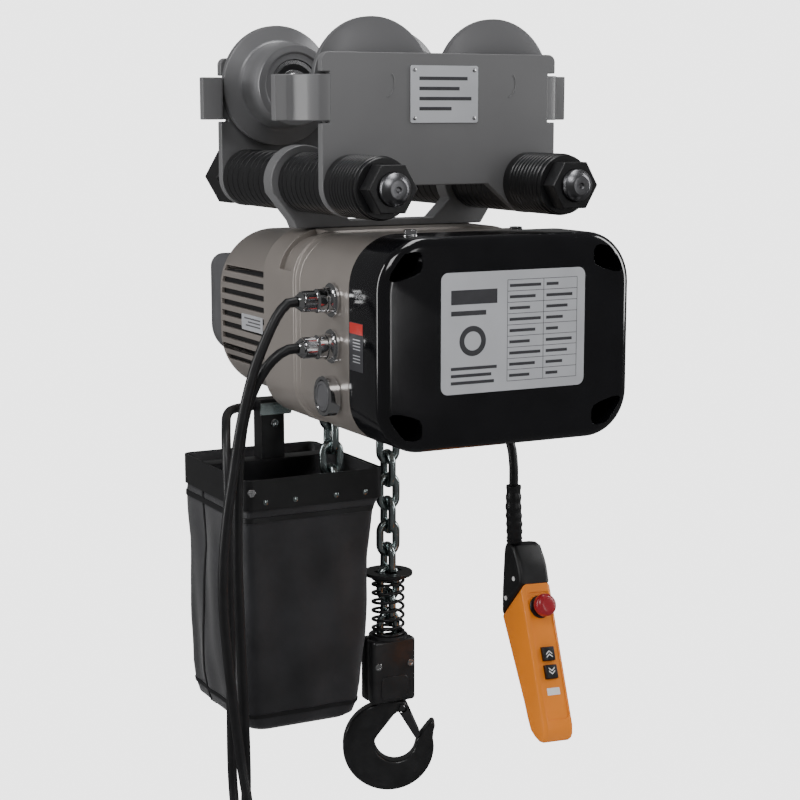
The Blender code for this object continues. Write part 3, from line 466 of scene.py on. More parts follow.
def tabOutline(end, side):
    outer = ((0.158, 0.1775), (0.168, 0.1775), (0.177, 0.1745), (0.183, 0.168), (0.188, 0.158),
             (0.193, 0.145), (0.197, 0.1375), (0.203, 0.1335), (0.219, 0.133))
    inner = ((0.219, 0.119), (0.197, 0.119), (0.190, 0.1215), (0.186, 0.127), (0.1787, 0.1485),
             (0.1765, 0.158), (0.171, 0.1645), (0.158, 0.1645))
    return [(end * x, side * y) for x, y in outer + inner]


def addSidePlate(where, side):
    inner, outer = side * trolley["plateIn"], side * trolley["plateOut"]
    name = "sidePlate" + where.capitalize()
    addPiece(extruded(plateOutline(), inner, outer), name, "hoist", "trolleyGrey",
             (f"side_plate_{where}",), bevel=0.0016, segments=3)
    for hand, end in (("Left", -1), ("Right", 1)):
        addPiece(extruded(tabOutline(end, side), 0.012, 0.071, "xy"), f"{name}Tab{hand}", "hoist",
                 "trolleyGrey", smooth=25, bevel=0.0014, segments=2)


def addWheel(where, hand, x, side):
    z = trolley["wheelZ"]
    key = where.capitalize() + hand.capitalize()

    def ringPiece(profile, name, body, finish, stands=()):
        points = [(r, side * y) for r, y in profile]
        return addPiece(turned(points, (x, 0, z), bored=profile[0][0] > 0), name + key, body,
                        finish, stands, smooth=28)

    tread = ((0.0366, 0.0905), (0.0440, 0.0905), (0.0452, 0.0895), (0.0458, 0.0878),
             (0.0470, 0.0870), (0.0545, 0.0870), (0.0560, 0.0876), (0.0570, 0.0892),
             (0.0618, 0.1375), (0.0632, 0.1395), (0.0660, 0.1410), (0.0830, 0.1462),
             (0.0848, 0.1472), (0.0855, 0.1490), (0.0855, 0.1560), (0.0850, 0.1574),
             (0.0835, 0.1580), (0.0400, 0.1580), (0.0366, 0.1560))
    ringPiece(tread, "wheel", f"wheel_{where}_{hand}", "wheelSteelTurned",
              (f"wheel_{where}_{hand}",))
    race = ((0.0300, 0.0925), (0.0352, 0.0925), (0.0357, 0.0932), (0.0357, 0.1535),
            (0.0300, 0.1535))
    ringPiece(race, "outerRace", "hoist", "brightSteelTurned",
              (f"wheel_axle_{where}_{hand}",))
    shield = ((0.0222, 0.0936), (0.0235, 0.0931), (0.0290, 0.0931), (0.0299, 0.0938),
              (0.0299, 0.1530), (0.0222, 0.1530))
    ringPiece(shield, "bearingShield", "hoist", "satinBlackTurned")
    hub = ((0.0, 0.0882), (0.0030, 0.0905), (0.0050, 0.0882), (0.0164, 0.0882), (0.0174, 0.0892),
           (0.0174, 0.0921), (0.0216, 0.0921), (0.0221, 0.0926), (0.0221, 0.1585),
           (0.0236, 0.1585), (0.0240, 0.1590), (0.0240, 0.1637), (0.0200, 0.1637),
           (0.0200, 0.1778), (0.0, 0.1778))
    ringPiece(hub, "wheelAxle", "hoist", "brightSteelTurned")
    weld = [(x + u, side * 0.1779, z + v) for u, v in arc((0, 0), 0.0205, -60, 35, 20)]
    addPiece(barAlong(weld, 0.0009, 10), "axleWeld" + key, "hoist", "trolleyGrey", smooth=60)


def addLoadShaft(hand, x):
    z, centre = trolley["shaftZ"], (x, 0, trolley["shaftZ"])
    key = hand.capitalize()
    profile = [(0.0, -0.3085), (0.0022, -0.3085), (0.0040, -0.3108), (0.0112, -0.3110),
               (0.0125, -0.3106), (0.0202, -0.3040), (0.0210, -0.3025), (0.0210, 0.1784),
               (0.0, 0.1784)]
    addPiece(turned(profile, centre), "loadShaft" + key, "hoist", "greySteel",
             (f"load_shaft_{hand}",))
    addPiece(hexPrism(centre, 0.0435, 0.1784, 0.2280, "y", 0, 0.0016), "shaftHead" + key, "hoist",
             "satinBlack", smooth=25, bevel=0.0006)
    collar = [(0.0212, -0.2623), (0.0380, -0.2623), (0.0390, -0.2633), (0.0390, -0.2688),
              (0.0378, -0.2700), (0.0212, -0.2700)]
    addPiece(turned(collar, centre, bored=True), "nutFlange" + key, "hoist", "satinBlackTurned",
             (f"shaft_nut_{hand}",))
    nut = cut(hexPrism(centre, 0.0346, -0.2700, -0.2960, "y", 0, 0.0014),
              turned([(0, -0.31), (0.0212, -0.31), (0.0212, -0.25), (0, -0.25)], centre))
    addPiece(nut, "shaftNut" + key, "hoist", "satinBlack", smooth=25, bevel=0.0006)
    # sleeve next to the plate, then thin washers
    sleeve, count = -0.1960, 8
    edges = [-0.1783] + [sleeve + (-0.2620 - sleeve) * n / count for n in range(count + 1)]
    for n, (back, front) in enumerate(zip(edges, edges[1:])):
        addWasher(f"outerWasher{key}{n}", x, front + 0.0001, back - 0.0001,
                  (f"outer_spacers_{hand}",) if n == 0 else ())
    low, high = -trolley["plateIn"] + 0.0003, trolley["hangY"] - 0.0143
    washers = 9
    for n in range(washers):
        a = low + (high - low) * n / washers
        b = low + (high - low) * (n + 1) / washers
        addWasher(f"frontWasher{key}{n}", x, a + 0.0001, b - 0.0001,
                  (f"inner_spacers_front_{hand}",) if n == 0 else ())
    low, high = trolley["hangY"] + 0.0143, trolley["plateIn"] - 0.0003
    for n in range(washers):
        a = low + (high - low) * n / washers
        b = low + (high - low) * (n + 1) / washers
        addWasher(f"rearWasher{key}{n}", x, a + 0.0001, b - 0.0001,
                  (f"inner_spacers_rear_{hand}",) if n == 0 else ())


def addWasher(name, x, front, back, stands):
    radius, bore, edge = 0.0405, 0.0212, 0.0014
    profile = [(bore, front), (radius - edge, front), (radius, front + edge),
               (radius, back - edge), (radius - edge, back), (bore, back)]
    addPiece(turned(profile, (x, 0, trolley["shaftZ"]), bored=True), name, "hoist",
             "satinBlackTurned", stands)


def addHanger():
    eye, x, z, y = 0.050, trolley["shaftX"], trolley["shaftZ"], trolley["hangY"]
    points = [(-0.146, -0.1337), (-0.150, -0.124), (-0.181, -0.085)]
    points += arc((-x, z), eye, 180, -33, 32)
    points += [(-0.065, -0.124), (0.065, -0.124)]
    points += arc((x, z), eye, 213, 0, 32)
    points += [(0.181, -0.085), (0.165, -0.100), (0.143, -0.1337)]
    plate = extruded(points, y - 0.014, y + 0.014)
    bores = [turned([(0, -0.1), (0.0213, -0.1), (0.0213, 0.1), (0, 0.1)], (side * x, 0, z))
             for side in (-1, 1)]
    addPiece(cut(plate, *bores), "hangerPlate", "hoist", "trolleyGrey", ("hanger_plate",),
             bevel=0.0018, segments=3)


plateSettings = {"x": (-0.048, 0.053), "z": (0.009, 0.083), "rivets": 0.006}


def addDataPlate():
    x0, x1 = plateSettings["x"]
    z0, z1 = plateSettings["z"]
    front = -0.1795
    addPiece(extruded(roundedOutline(x0, x1, z0, z1, 0.003), -0.1781, front), "dataPlate", "hoist",
             "labelSilver", bevel=0.0003)
    for n, (x, z) in enumerate(((x0, z0), (x1, z0), (x0, z1), (x1, z1))):
        inset = plateSettings["rivets"]
        u = x + (inset if x == x0 else -inset)
        v = z + (inset if z == z0 else -inset)
        profile = [(0, front), (0.0026, front), (0.0024, front - 0.0007), (0.0014, front - 0.0013),
                   (0, front - 0.0015)]
        addPiece(turned(profile, (u, 0, v), steps=24), f"plateRivet{n}", "hoist", "brightSteel")
    rows = []
    for n in range(4):
        z = z1 - 0.016 - 0.013 * n
        length = (0.072, 0.060, 0.078, 0.048)[n]
        rows.append(block((x0 + 0.013, front - 0.0001, z - 0.0030),
                          (x0 + 0.013 + length, front + 0.0001, z + 0.0016)))
    addPiece(merged(*rows), "dataPlatePrint", "hoist", "printDark")


def addTrolley():
    for where, side in (("front", -1), ("rear", 1)):
        addSidePlate(where, side)
        for hand, x in (("left", -trolley["wheelX"]), ("right", trolley["wheelX"])):
            addWheel(where, hand, x, side)
    for hand, x in (("left", -trolley["shaftX"]), ("right", trolley["shaftX"])):
        addLoadShaft(hand, x)
    addHanger()
    addDataPlate()
    print("trolley made")


# hoist body
body = {"x": 0.006, "half": 0.183, "top": -0.134, "bottom": -0.395, "coverTop": -0.128,
        "sheaveR": 0.0448, "sheaveZ": -0.262, "motorX": 0.040}


def section(y, half, top, bottom, rTop, rBottom, steps=14):
    left, right = body["x"] - half, body["x"] + half
    points = arc((right - rTop, top - rTop), rTop, 0, 90, steps)
    points += arc((left + rTop, top - rTop), rTop, 90, 180, steps)
    points += arc((left + rBottom, bottom + rBottom), rBottom, 180, 270, steps)
    points += arc((right - rBottom, bottom + rBottom), rBottom, 270, 360, steps)
    return [(x, y, z) for x, z in points]


def bodyRing(y, inset=0.0, top=None):
    top = body["top"] if top is None else top
    return section(y, body["half"] - inset, top - inset, body["bottom"] + inset,
                   0.066 - inset * 0.8, 0.060 - inset * 0.8)


pocketOutline = ((-0.164, -0.177), (-0.161, -0.169), (-0.148, -0.152), (-0.142, -0.1465),
                 (-0.128, -0.1440), (-0.121, -0.1460), (-0.1185, -0.1520), (-0.1185, -0.163),
                 (-0.1220, -0.1700), (-0.132, -0.1745), (-0.150, -0.1795), (-0.160, -0.1800))
coverScrews = ((-0.148, -0.1640), (0.160, -0.1640), (-0.148, -0.3590), (0.160, -0.3590))


def addCover():
    rings = [bodyRing(-0.2590, 0.0007, body["coverTop"]), bodyRing(-0.2597, 0, body["coverTop"]),
             bodyRing(-0.333, 0, body["coverTop"])]
    for n in range(1, 9):
        angle = math.radians(90 * n / 8)
        rings.append(bodyRing(-0.333 - 0.012 * math.sin(angle), 0.016 * (1 - math.cos(angle)),
                              body["coverTop"]))
    shell = loft(rings)
    tools = [block((-0.171, -0.332, -0.335), (0.183, -0.2, -0.195)),
             block((-0.115, -0.332, -0.389), (0.127, -0.2, -0.136))]
    middle = (body["coverTop"] + body["bottom"]) / 2
    for sideX in (1, -1):
        for sideZ in (1, -1):
            outline = [(body["x"] + sideX * (x - body["x"]), middle + sideZ * (z - middle))
                       for x, z in pocketOutline]
            tools.append(extruded(outline, -0.36, -0.275))
    addPiece(cut(shell, *tools), "controlCover", "hoist", "glossBlack", ("control_cover",),
             smooth=32, bevel=0.0010, segments=3)
    for n, (x, z) in enumerate(coverScrews):
        addSocketScrew(f"coverScrew{n}", (x, -0.2751, z), 0.0072, 0.0080, "y")


def addSocketScrew(name, base, radius, height, axis, body="hoist", finish="chrome"):
    # cap screw whose head stands away from its base towards -Y, or towards +Z
    step = -1 if axis == "y" else 1
    start = base["xyz".index(axis)]
    top = start + step * height
    profile = [(0, start), (radius, start), (radius, top - step * 0.0010),
               (radius - 0.0008, top), (radius * 0.55, top), (radius * 0.50, top - step * 0.0004),
               (radius * 0.50, top - step * height * 0.55), (0, top - step * height * 0.6)]
    return addPiece(turned(profile, base, axis, 36), name, body, finish)


def addHousings():
    control = [bodyRing(-0.2577, 0.004), bodyRing(-0.2577, 0.0014), bodyRing(-0.2565, 0.0002),
               bodyRing(-0.1445, 0.0002), bodyRing(-0.1430, 0.0012), bodyRing(-0.1415, 0.0028),
               bodyRing(-0.1075, 0.0028), bodyRing(-0.1064, 0.0040), bodyRing(-0.1064, 0.0062),
               bodyRing(-0.2577, 0.0062)]
    addPiece(loft(control, closed=True), "controlHousing", "hoist", "bodyBeige",
             ("control_housing",), smooth=30)
    rings = [bodyRing(-0.1059, 0.0040), bodyRing(-0.1048, 0.0028), bodyRing(-0.0915, 0.0028),
             bodyRing(-0.0900, 0.0014), bodyRing(-0.0885, 0.0002), bodyRing(0.0115, 0.0002),
             bodyRing(0.0128, 0.0014)]
    sheaveR = body["sheaveR"]
    tools = [block((-0.144, -0.2, -0.374), (0.156, -0.060, -0.155)),
             block((-0.1143, -0.048, -0.45), (0.0263, 0.008, -0.1415)),
             turned([(0, -0.2), (0.0123, -0.2), (0.0123, 0.1), (0, 0.1)],
                    (-sheaveR, 0, body["sheaveZ"])),
             turned([(0, -0.2), (0.0103, -0.2), (0.0103, 0.1), (0, 0.1)],
                    (body["motorX"], 0, body["sheaveZ"]))]
    # a shallow window on each top corner, beside the hanger
    for side in (-1, 1):
        centre = (body["x"] + side * (body["half"] - 0.066), body["top"] - 0.066)
        start, end = (98, 168) if side < 0 else (12, 82)
        window = arc(centre, 0.080, start, end, 12) + arc(centre, 0.0585, end, start, 12)
        tools.append(extruded(window, -0.080, -0.040))
    addPiece(cut(loft(rings), *tools), "chainHousing", "hoist", "bodyBeige", ("chain_housing",),
             smooth=30, bevel=0.0009, segments=3)
    guide = block((-0.1140, -0.0477, -0.402), (0.0260, 0.0077, -0.374), 0.0015, 2)
    slots = [block((x - 0.0215, -0.0415, -0.5), (x + 0.0215, 0.0015, -0.3))
             for x in (0, -2 * sheaveR)]
    addPiece(cut(guide, *slots), "chainGuide", "hoist", "satinBlack", ("chain_guide",),
             bevel=0.0008)
    for n, (x, y, z) in enumerate(((0.083, -0.230, -0.1343), (-0.112, -0.300, -0.1283))):
        washer = turned([(0, z), (0.0100, z), (0.0100, z + 0.0014), (0, z + 0.0014)], (x, y, 0),
                        "z", 36)
        addPiece(washer, f"topWasher{n}", "hoist", "chrome", bevel=0.0003)
        addPiece(hexPrism((x, y, 0), 0.0086, z + 0.0014, z + 0.0080, "z", 15, 0.0007),
                 f"topBolt{n}", "hoist", "chrome", smooth=25, bevel=0.0003)


def addMotor():
    front, back, wall = 0.0133, 0.203, 0.005

    def ring(y, inset=0.0):
        return section(y, 0.171 - inset, -0.148 - inset, -0.385 + inset, 0.085 - inset,
                       0.085 - inset, 18)

    shell = loft([ring(back - wall, wall), ring(front, wall), ring(front, 0.0006),
                  ring(front + 0.0008), ring(back - 0.003), ring(back - 0.0008, 0.0009),
                  ring(back, 0.003)])
    slots = [block((-0.25, 0.025, -0.2071 - 0.0164 * n), (0.25, 0.195, -0.1993 - 0.0164 * n))
             for n in range(9)]
    addPiece(cut(shell, *slots), "motorCover", "hoist", "bodyBeige", ("motor_cover",), smooth=30,
             bevel=0.0006)
    # painted shade: a black sheet just inside the cover wall, so the louvre slots show dark
    liner = [ring(back - wall - 0.0008, wall + 0.0012), ring(front + 0.001, wall + 0.0012),
             ring(front + 0.001, wall + 0.0003), ring(back - wall - 0.0002, wall + 0.0003)]
    addPiece(loft(liner), "motorPaintedShadeLiner", "hoist", "softBlack")

    def capRing(y, half, top, bottom):
        return section(y, half, top, bottom, 0.020, 0.048, 12)

    rings = [capRing(0.284, 0.147, -0.196, -0.338), capRing(0.2033, 0.153, -0.191, -0.345),
             capRing(0.2033, 0.1572, -0.1868, -0.3492), capRing(0.2041, 0.158, -0.186, -0.350),
             capRing(0.250, 0.156, -0.187, -0.347), capRing(0.284, 0.1530, -0.1893, -0.3440),
             capRing(0.288, 0.1505, -0.1910, -0.3425), capRing(0.290, 0.146, -0.195, -0.338)]
    addPiece(loft(rings), "motorEndCap", "hoist", "capGrey", ("motor_end_cap",), smooth=30)
    print("body made")


labelSettings = {"x": (-0.093, 0.117), "z": (-0.324, -0.172), "face": -0.3451}


def addRatingLabel():
    x0, x1 = labelSettings["x"]
    z0, z1 = labelSettings["z"]
    face = labelSettings["face"]
    front = face - 0.0007
    addPiece(extruded(roundedOutline(x0, x1, z0, z1, 0.010, 12), face, front), "ratingLabel",
             "hoist", "labelSilver", bevel=0.0002)

    def mark(u0, u1, v0, v1):
        return block((x0 + u0, front - 0.0001, z0 + v0), (x0 + u1, front + 0.0001, z0 + v1))

    # a plain round mark over bars at the left, and a ruled table at the right
    marks = [mark(0.014, 0.080, 0.112, 0.130), mark(0.014, 0.064, 0.098, 0.104),
             mark(0.014, 0.080, 0.030, 0.034), mark(0.014, 0.072, 0.021, 0.025),
             mark(0.014, 0.076, 0.012, 0.016)]
    width, height = x1 - x0, z1 - z0
    for n in range(10):
        v = 0.012 + (height - 0.024) * n / 9
        marks.append(mark(0.095, width - 0.012, v - 0.0003, v + 0.0003))
        if n < 9:
            step = (height - 0.024) / 9
            marks.append(mark(0.098, 0.098 + 0.030 + 0.008 * (n * 7 % 3), v + step * 0.35,
                              v + step * 0.62))
            marks.append(mark(0.152, 0.152 + 0.018 + 0.007 * (n * 5 % 4), v + step * 0.35,
                              v + step * 0.62))
    for u in (0.095, 0.148, width - 0.012):
        marks.append(mark(u - 0.0003, u + 0.0003, 0.012, height - 0.012))
    addPiece(merged(*marks), "ratingLabelPrint", "hoist", "printDark")
    disc = turned([(0.012, front - 0.0001), (0.019, front - 0.0001), (0.019, front + 0.0001),
                   (0.012, front + 0.0001)], (x0 + 0.045, 0, z0 + 0.066), steps=48, bored=True)
    addPiece(disc, "ratingLabelMark", "hoist", "printDark")


def addSticker():
    # small warning-style sticker with a plain coloured head on the cover's side
    face, y0, y1 = -0.1771, -0.2995, -0.2615
    addPiece(extruded(roundedOutline(y0, y1, -0.2960, -0.2350, 0.002, 4), face, face - 0.0004,
                      "yz"), "sideSticker", "hoist", "printDark")
    addPiece(block((face - 0.0006, y0 + 0.0008, -0.2495), (face - 0.0003, y1 - 0.0008, -0.2358)),
             "sideStickerHead", "hoist", "stickerRed")
    rows = [block((face - 0.0006, y0 + 0.008, z - 0.0011), (face - 0.0003, y1 - 0.010, z))
            for z in (-0.256, -0.260, -0.264, -0.268, -0.276, -0.280, -0.284)]
    addPiece(merged(*rows), "sideStickerRows", "hoist", "labelSilver")


def addVentPlate():
    face = -0.1651
    addPiece(extruded(roundedOutline(0.042, 0.118, -0.2860, -0.2630, 0.002, 4), face,
                      face - 0.0009, "yz"), "ventPlate", "hoist", "labelSilver", bevel=0.0002)
    rows = [block((face - 0.0011, 0.050, z - 0.0010), (face - 0.0008, 0.050 + length, z + 0.0010))
            for z, length in ((-0.2685, 0.058), (-0.2735, 0.044), (-0.2785, 0.052))]
    addPiece(merged(*rows), "ventPlatePrint", "hoist", "capGrey")


fittings = {"face": -0.1773, "y": -0.213, "z": (-0.213, -0.272)}


def addFittings():
    face, y = fittings["face"], fittings["y"]
    for name, z in zip(("power", "control"), fittings["z"]):
        centre = (0, y, z)
        socket = [(0, face), (0.0216, face), (0.0220, -0.1777), (0.0220, -0.1809),
                  (0.0214, -0.1815), (0.0168, -0.1815), (0.0165, -0.1820), (0.0165, -0.1893),
                  (0.0160, -0.1900), (0, -0.1900)]
        addPiece(turned(socket, centre, "x"), f"{name}Socket", "hoist", "chrome",
                 (f"{name}_socket",))
        plug = [(0, -0.1903), (0.0150, -0.1903), (0.0155, -0.1908), (0.0155, -0.2005),
                (0.0150, -0.2012), (0.0135, -0.2030), (0.0125, -0.2036), (0.0125, -0.2222),
                (0.0110, -0.2240), (0.0090, -0.2268), (0.0086, -0.2275), (0, -0.2275)]
        addPiece(turned(plug, centre, "x"), f"{name}Connector", "hoist", "chrome",
                 (f"{name}_connector",))
        teeth = []
        for n in range(96):
            angle = math.radians(360 * n / 96)
            radius = 0.0135 if n % 2 else 0.0129
            teeth.append((y + radius * math.cos(angle), z + radius * math.sin(angle)))
        addPiece(extruded(teeth, -0.2042, -0.2195, "yz"), f"{name}Knurl", "hoist", "chrome",
                 smooth=15)
    ring = [(0.0205, face), (0.0256, face), (0.0260, -0.1777), (0.0260, -0.1915),
            (0.0252, -0.1925), (0.0215, -0.1925), (0.0205, -0.1915)]
    addPiece(turned(ring, (0, -0.211, -0.336), "x", bored=True), "portRing", "hoist", "chrome",
             ("port_cap",))
    disc = [(0, face), (0.0203, face), (0.0203, -0.1900), (0.0190, -0.1925), (0.0160, -0.1930),
            (0.0150, -0.1915), (0, -0.1915)]
    addPiece(turned(disc, (0, -0.211, -0.336), "x"), "portDisc", "hoist", "capGrey")
    print("fittings made")


# chains
chain = {"pitch": 0.034, "bar": 0.0112, "reach": 0.02262, "side": 0.0130, "y": -0.020}


def oneLink(place, along, across):
    points = []
    straight = chain["reach"] - chain["side"]
    for end, start in ((1, 90), (-1, 270)):
        for u, v in arc((0, 0), chain["side"], start, start - 180, 12):
            points.append(place + along * (end * straight + u) + across * v)
    return barAlong(points, chain["bar"] / 2, 14, True)


def addChain(name, links, body, stands):
    addPiece(merged(*[oneLink(*link) for link in links]), name, body, "zinc", stands, smooth=60)


def hangingLinks(x, lowest, count, first):
    sides = (Vector((1, 0, 0)), Vector((0, 1, 0)))
    return [(Vector((x, chain["y"], lowest + chain["pitch"] * n)), Vector((0, 0, 1)),
             sides[(n + first) % 2]) for n in range(count)]


def heapedLinks():
    centre, radius, rise = Vector((-0.145, 0.067, -0.800)), 0.040, 0.040
    step = 2 * math.asin(chain["pitch"] / 2 / radius)
    corners = []
    for n in range(11):
        angle = step * n
        offset = Vector((math.cos(angle), math.sin(angle), 0)) * radius
        offset.z = rise * angle / (2 * math.pi)
        corners.append(centre + offset)
    links = []
    for n, (a, b) in enumerate(zip(corners, corners[1:])):
        along = (b - a).normalized()
        flat = along.cross(Vector((0, 0, 1))).normalized()
        links.append(((a + b) / 2, along, flat if n % 2 else flat.cross(along).normalized()))
    return links


def addChains():
    addChain("loadChain", hangingLinks(0, -0.7198, 13, 0), "lift", ("load_chain",))
    addChain("slackChain", hangingLinks(-2 * body["sheaveR"], -0.5618, 10, 1), "slack",
             ("slack_chain",))
    addChain("storedChain", heapedLinks(), "hoist", ("stored_chain",))
    print("chains made")


# hook block
hookSettings = {"y": -0.020, "turn": -25, "z": -0.896}


def hookFrame():
    return (Matrix.Translation((0, hookSettings["y"], hookSettings["z"]))
            @ Matrix.Rotation(math.radians(hookSettings["turn"]), 4, "Z"))


def addLimitStop():
    y = hookSettings["y"]
    disc = turned([(0, -0.6382), (0.0349, -0.6382), (0.0355, -0.6376), (0.0355, -0.6338),
                   (0.0349, -0.6332), (0, -0.6332)], (0, y, 0), "z", 96)
    slots = [block((-a, y - b, -0.7), (a, y + b, -0.6)) for a, b in ((0.0203, 0.0070),
                                                                    (0.0070, 0.0203))]
    addPiece(cut(disc, *slots), "limitPlate", "limit_stop", "satinBlack", ("limit_plate",))
    wire, mean, turns, steps = 0.0022, 0.0224, 8, 28
    low, high, closed = -0.7282, -0.6408, 0.0046
    points = []
    for i in range(turns * steps + 1):
        turn = i / steps
        if turn < 1:
            z = low + closed * turn
        elif turn > turns - 1:
            z = high - closed * (turns - turn)
        else:
            z = low + closed + (high - low - 2 * closed) * (turn - 1) / (turns - 2)
        angle = 2 * math.pi * turn
        points.append((mean * math.cos(angle), y + mean * math.sin(angle), z))
    spring = addPiece(barAlong(points, wire, 10), "limitSpring", "lift", "satinBlack",
                      ("limit_spring",), smooth=60)
    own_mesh(spring)


def addHookBlock():
    y = hookSettings["y"]
    for name, low, high in (("blockFront", y - 0.021, y - 0.0004),
                            ("blockBack", y + 0.0004, y + 0.021)):
        half = block((-0.035, low, -0.826), (0.035, high, -0.731), 0.0055, 5)
        tools = [block((-0.0202, y - 0.0070, -0.752), (0.0202, y + 0.0070, -0.70)),
                 turned([(0, -0.85), (0.0115, -0.85), (0.0115, -0.785), (0, -0.785)], (0, y, 0),
                        "z", 36)]
        addPiece(cut(half, *tools), name, "lift", "forgedBlack",
                 ("hook_block",) if name == "blockFront" else (), smooth=40)
    panel = extruded(roundedOutline(-0.022, 0.022, -0.820, -0.786, 0.008, 8), y - 0.0208,
                     y - 0.0224)
    addPiece(panel, "blockPanel", "lift", "forgedBlack", bevel=0.0008, segments=3)
    for n, x in enumerate((-0.0262, 0.0262)):
        addSocketScrew(f"blockScrew{n}", (x, y - 0.0200, -0.769), 0.0056, 0.0030, "y", "lift",
                       "chrome")
    collar = [(0.0230, -0.7312), (0.0285, -0.7312), (0.0285, -0.7275), (0.0270, -0.7262),
              (0.0247, -0.7262), (0.0247, -0.7300), (0.0230, -0.7300)]
    addPiece(turned(collar, (0, y, 0), "z", bored=True), "springCollar", "lift", "forgedBlack")


def hookOutline():
    points = [(0.015, 0.0697), (-0.015, 0.0697), (-0.0165, 0.0655)]
    points += arc((0, 0), 0.067, 107, 360, 50)
    points += [(0.0655, 0.012), (0.0665, 0.022), (0.0685, 0.030), (0.0680, 0.0350),
               (0.0655, 0.0375), (0.0620, 0.0370), (0.0580, 0.0325), (0.0490, 0.0210),
               (0.0425, 0.0120)]
    points += arc((0.010, 0.007), 0.030, -8, -180, 30)
    points += [(-0.0195, 0.0110), (-0.0150, 0.0180), (0.0080, 0.0480), (0.0130, 0.0520),
               (0.0230, 0.0520), (0.0265, 0.0550), (0.0275, 0.0600), (0.0265, 0.0650),
               (0.0235, 0.0680)]
    return points


def addHook():
    bm = extruded(hookOutline(), -0.012, 0.012)
    rims = [e for e in bm.edges if abs(e.verts[0].co[1] - e.verts[1].co[1]) < 1e-7]
    bmesh.ops.bevel(bm, geom=rims, offset=0.0062, segments=6, profile=0.5, affect="EDGES",
                    clamp_overlap=True, material=-1)
    bmesh.ops.transform(bm, matrix=hookFrame(), verts=bm.verts)
    addPiece(bm, "hook", "hook", "forgedBlack", ("hook",), smooth=50)
    y = hookSettings["y"]
    shank = turned([(0, -0.832), (0.0112, -0.832), (0.0112, -0.7853), (0, -0.7853)], (0, y, 0),
                   "z", 48)
    addPiece(shank, "hookShank", "hook", "forgedBlack")
    pivot, nose, half = Vector((0.020, 0.060)), Vector((0.0425, 0.0165)), 0.004
    along = (nose - pivot).normalized()
    across = Vector((-along.y, along.x)) * half
    turn = math.degrees(math.atan2(-across.y, -across.x))
    outline = [nose - across, nose + across] + arc(pivot, 0.0075, turn + 180, turn, 16)
    latch = extruded(outline, -0.0147, 0.0147)
    hingeRoom = turned([(0, -0.01225), (0.0165, -0.01225), (0.0165, 0.01225), (0, 0.01225)],
                  (pivot.x, 0, pivot.y))
    latch = cut(latch, hingeRoom)
    bmesh.ops.transform(latch, matrix=hookFrame(), verts=latch.verts)
    addPiece(latch, "hookLatch", "latch", "greySteel", ("hook_latch",), bevel=0.0008)
    pin = turned([(0, -0.0162), (0.0040, -0.0162), (0.0046, -0.0154), (0.0046, 0.0154),
                  (0.0040, 0.0162), (0, 0.0162)], (pivot.x, 0, pivot.y), steps=32)
    bmesh.ops.transform(pin, matrix=hookFrame(), verts=pin.verts)
    addPiece(pin, "latchPin", "hook", "greySteel")
    print("hook made")


# chain bag
bag = {"x": (-0.236, -0.022), "y": (-0.052, 0.186), "rim": -0.473, "frameLow": -0.516,
       "strip": 0.003, "skin": 0.0016, "folds": 0.0042}
bagRings = (                   # height, then how far each side is drawn in: -X, +X, -Y, +Y
    (-0.4746, 0.0033, 0.0033, 0.0033, 0.0033), (-0.5170, 0.0033, 0.0033, 0.0033, 0.0033),
    (-0.5300, 0.0015, 0.0125, 0.0015, 0.0020), (-0.7200, -0.0030, 0.0190, -0.0030, 0.0020),
    (-0.7860, -0.0010, 0.0270, -0.0010, 0.0050), (-0.8120, 0.0030, 0.0330, 0.0030, 0.0090),
    (-0.8290, 0.0080, 0.0390, 0.0080, 0.0150), (-0.8350, 0.0160, 0.0470, 0.0160, 0.0230),
)


def flatRing(x0, x1, y0, y1, radius, z, steps=6):
    points = arc((x1 - radius, y1 - radius), radius, 0, 90, steps)
    points += arc((x0 + radius, y1 - radius), radius, 90, 180, steps)
    points += arc((x0 + radius, y0 + radius), radius, 180, 270, steps)
    points += arc((x1 - radius, y0 + radius), radius, 270, 360, steps)
    return [Vector((x, y, z)) for x, y in points]


def bagInsets(z):
    for upper, lower in zip(bagRings, bagRings[1:]):
        if z >= lower[0]:
            t = (upper[0] - z) / (upper[0] - lower[0])
            return [a + (b - a) * t for a, b in zip(upper[1:], lower[1:])]
    return list(bagRings[-1][1:])


def evenRing(corners, count):
    # the same outline with evenly spaced points, starting in the middle of the +X side
    closed = corners + [corners[0]]
    lengths = [(b - a).length for a, b in zip(closed, closed[1:])]
    total = sum(lengths)
    points, walked, index = [], 0.0, 0
    for n in range(count):
        target = total * n / count
        while walked + lengths[index] < target:
            walked += lengths[index]
            index += 1
        t = (target - walked) / lengths[index] if lengths[index] else 0
        points.append(closed[index].lerp(closed[index + 1], t))
    return points


def bagPoint(ring, n, depth):
    # folds grow below the frame and fade out at the floor; they go inwards only
    count = len(ring)
    around = n / count
    tangent = (ring[(n + 1) % count] - ring[n - 1]).normalized()
    inward = Vector((-tangent.y, tangent.x, 0))
    wave = (0.50 * math.sin(2 * math.pi * (7 * around + 0.35 * depth))
            + 0.30 * math.sin(2 * math.pi * (13 * around - 0.9 * depth + 0.2))
            + 0.20 * math.sin(2 * math.pi * (4 * around + 2.3 * depth + 0.6)))
    strength = bag["folds"] * min(depth * 4, 1) * (1 if depth < 0.85 else (1 - depth) / 0.15)
    return ring[n] + inward * (strength * (1 + wave))


def bagLevels():
    top, low = bagRings[0][0], bagRings[-1][0]
    levels = [top, -0.500, -0.517, -0.523]
    z = -0.530
    while z > -0.80:
        levels.append(z)
        z -= 0.0075
    levels += [-0.806, -0.812, -0.818, -0.824, -0.829, -0.832, -0.834, low]
    return levels


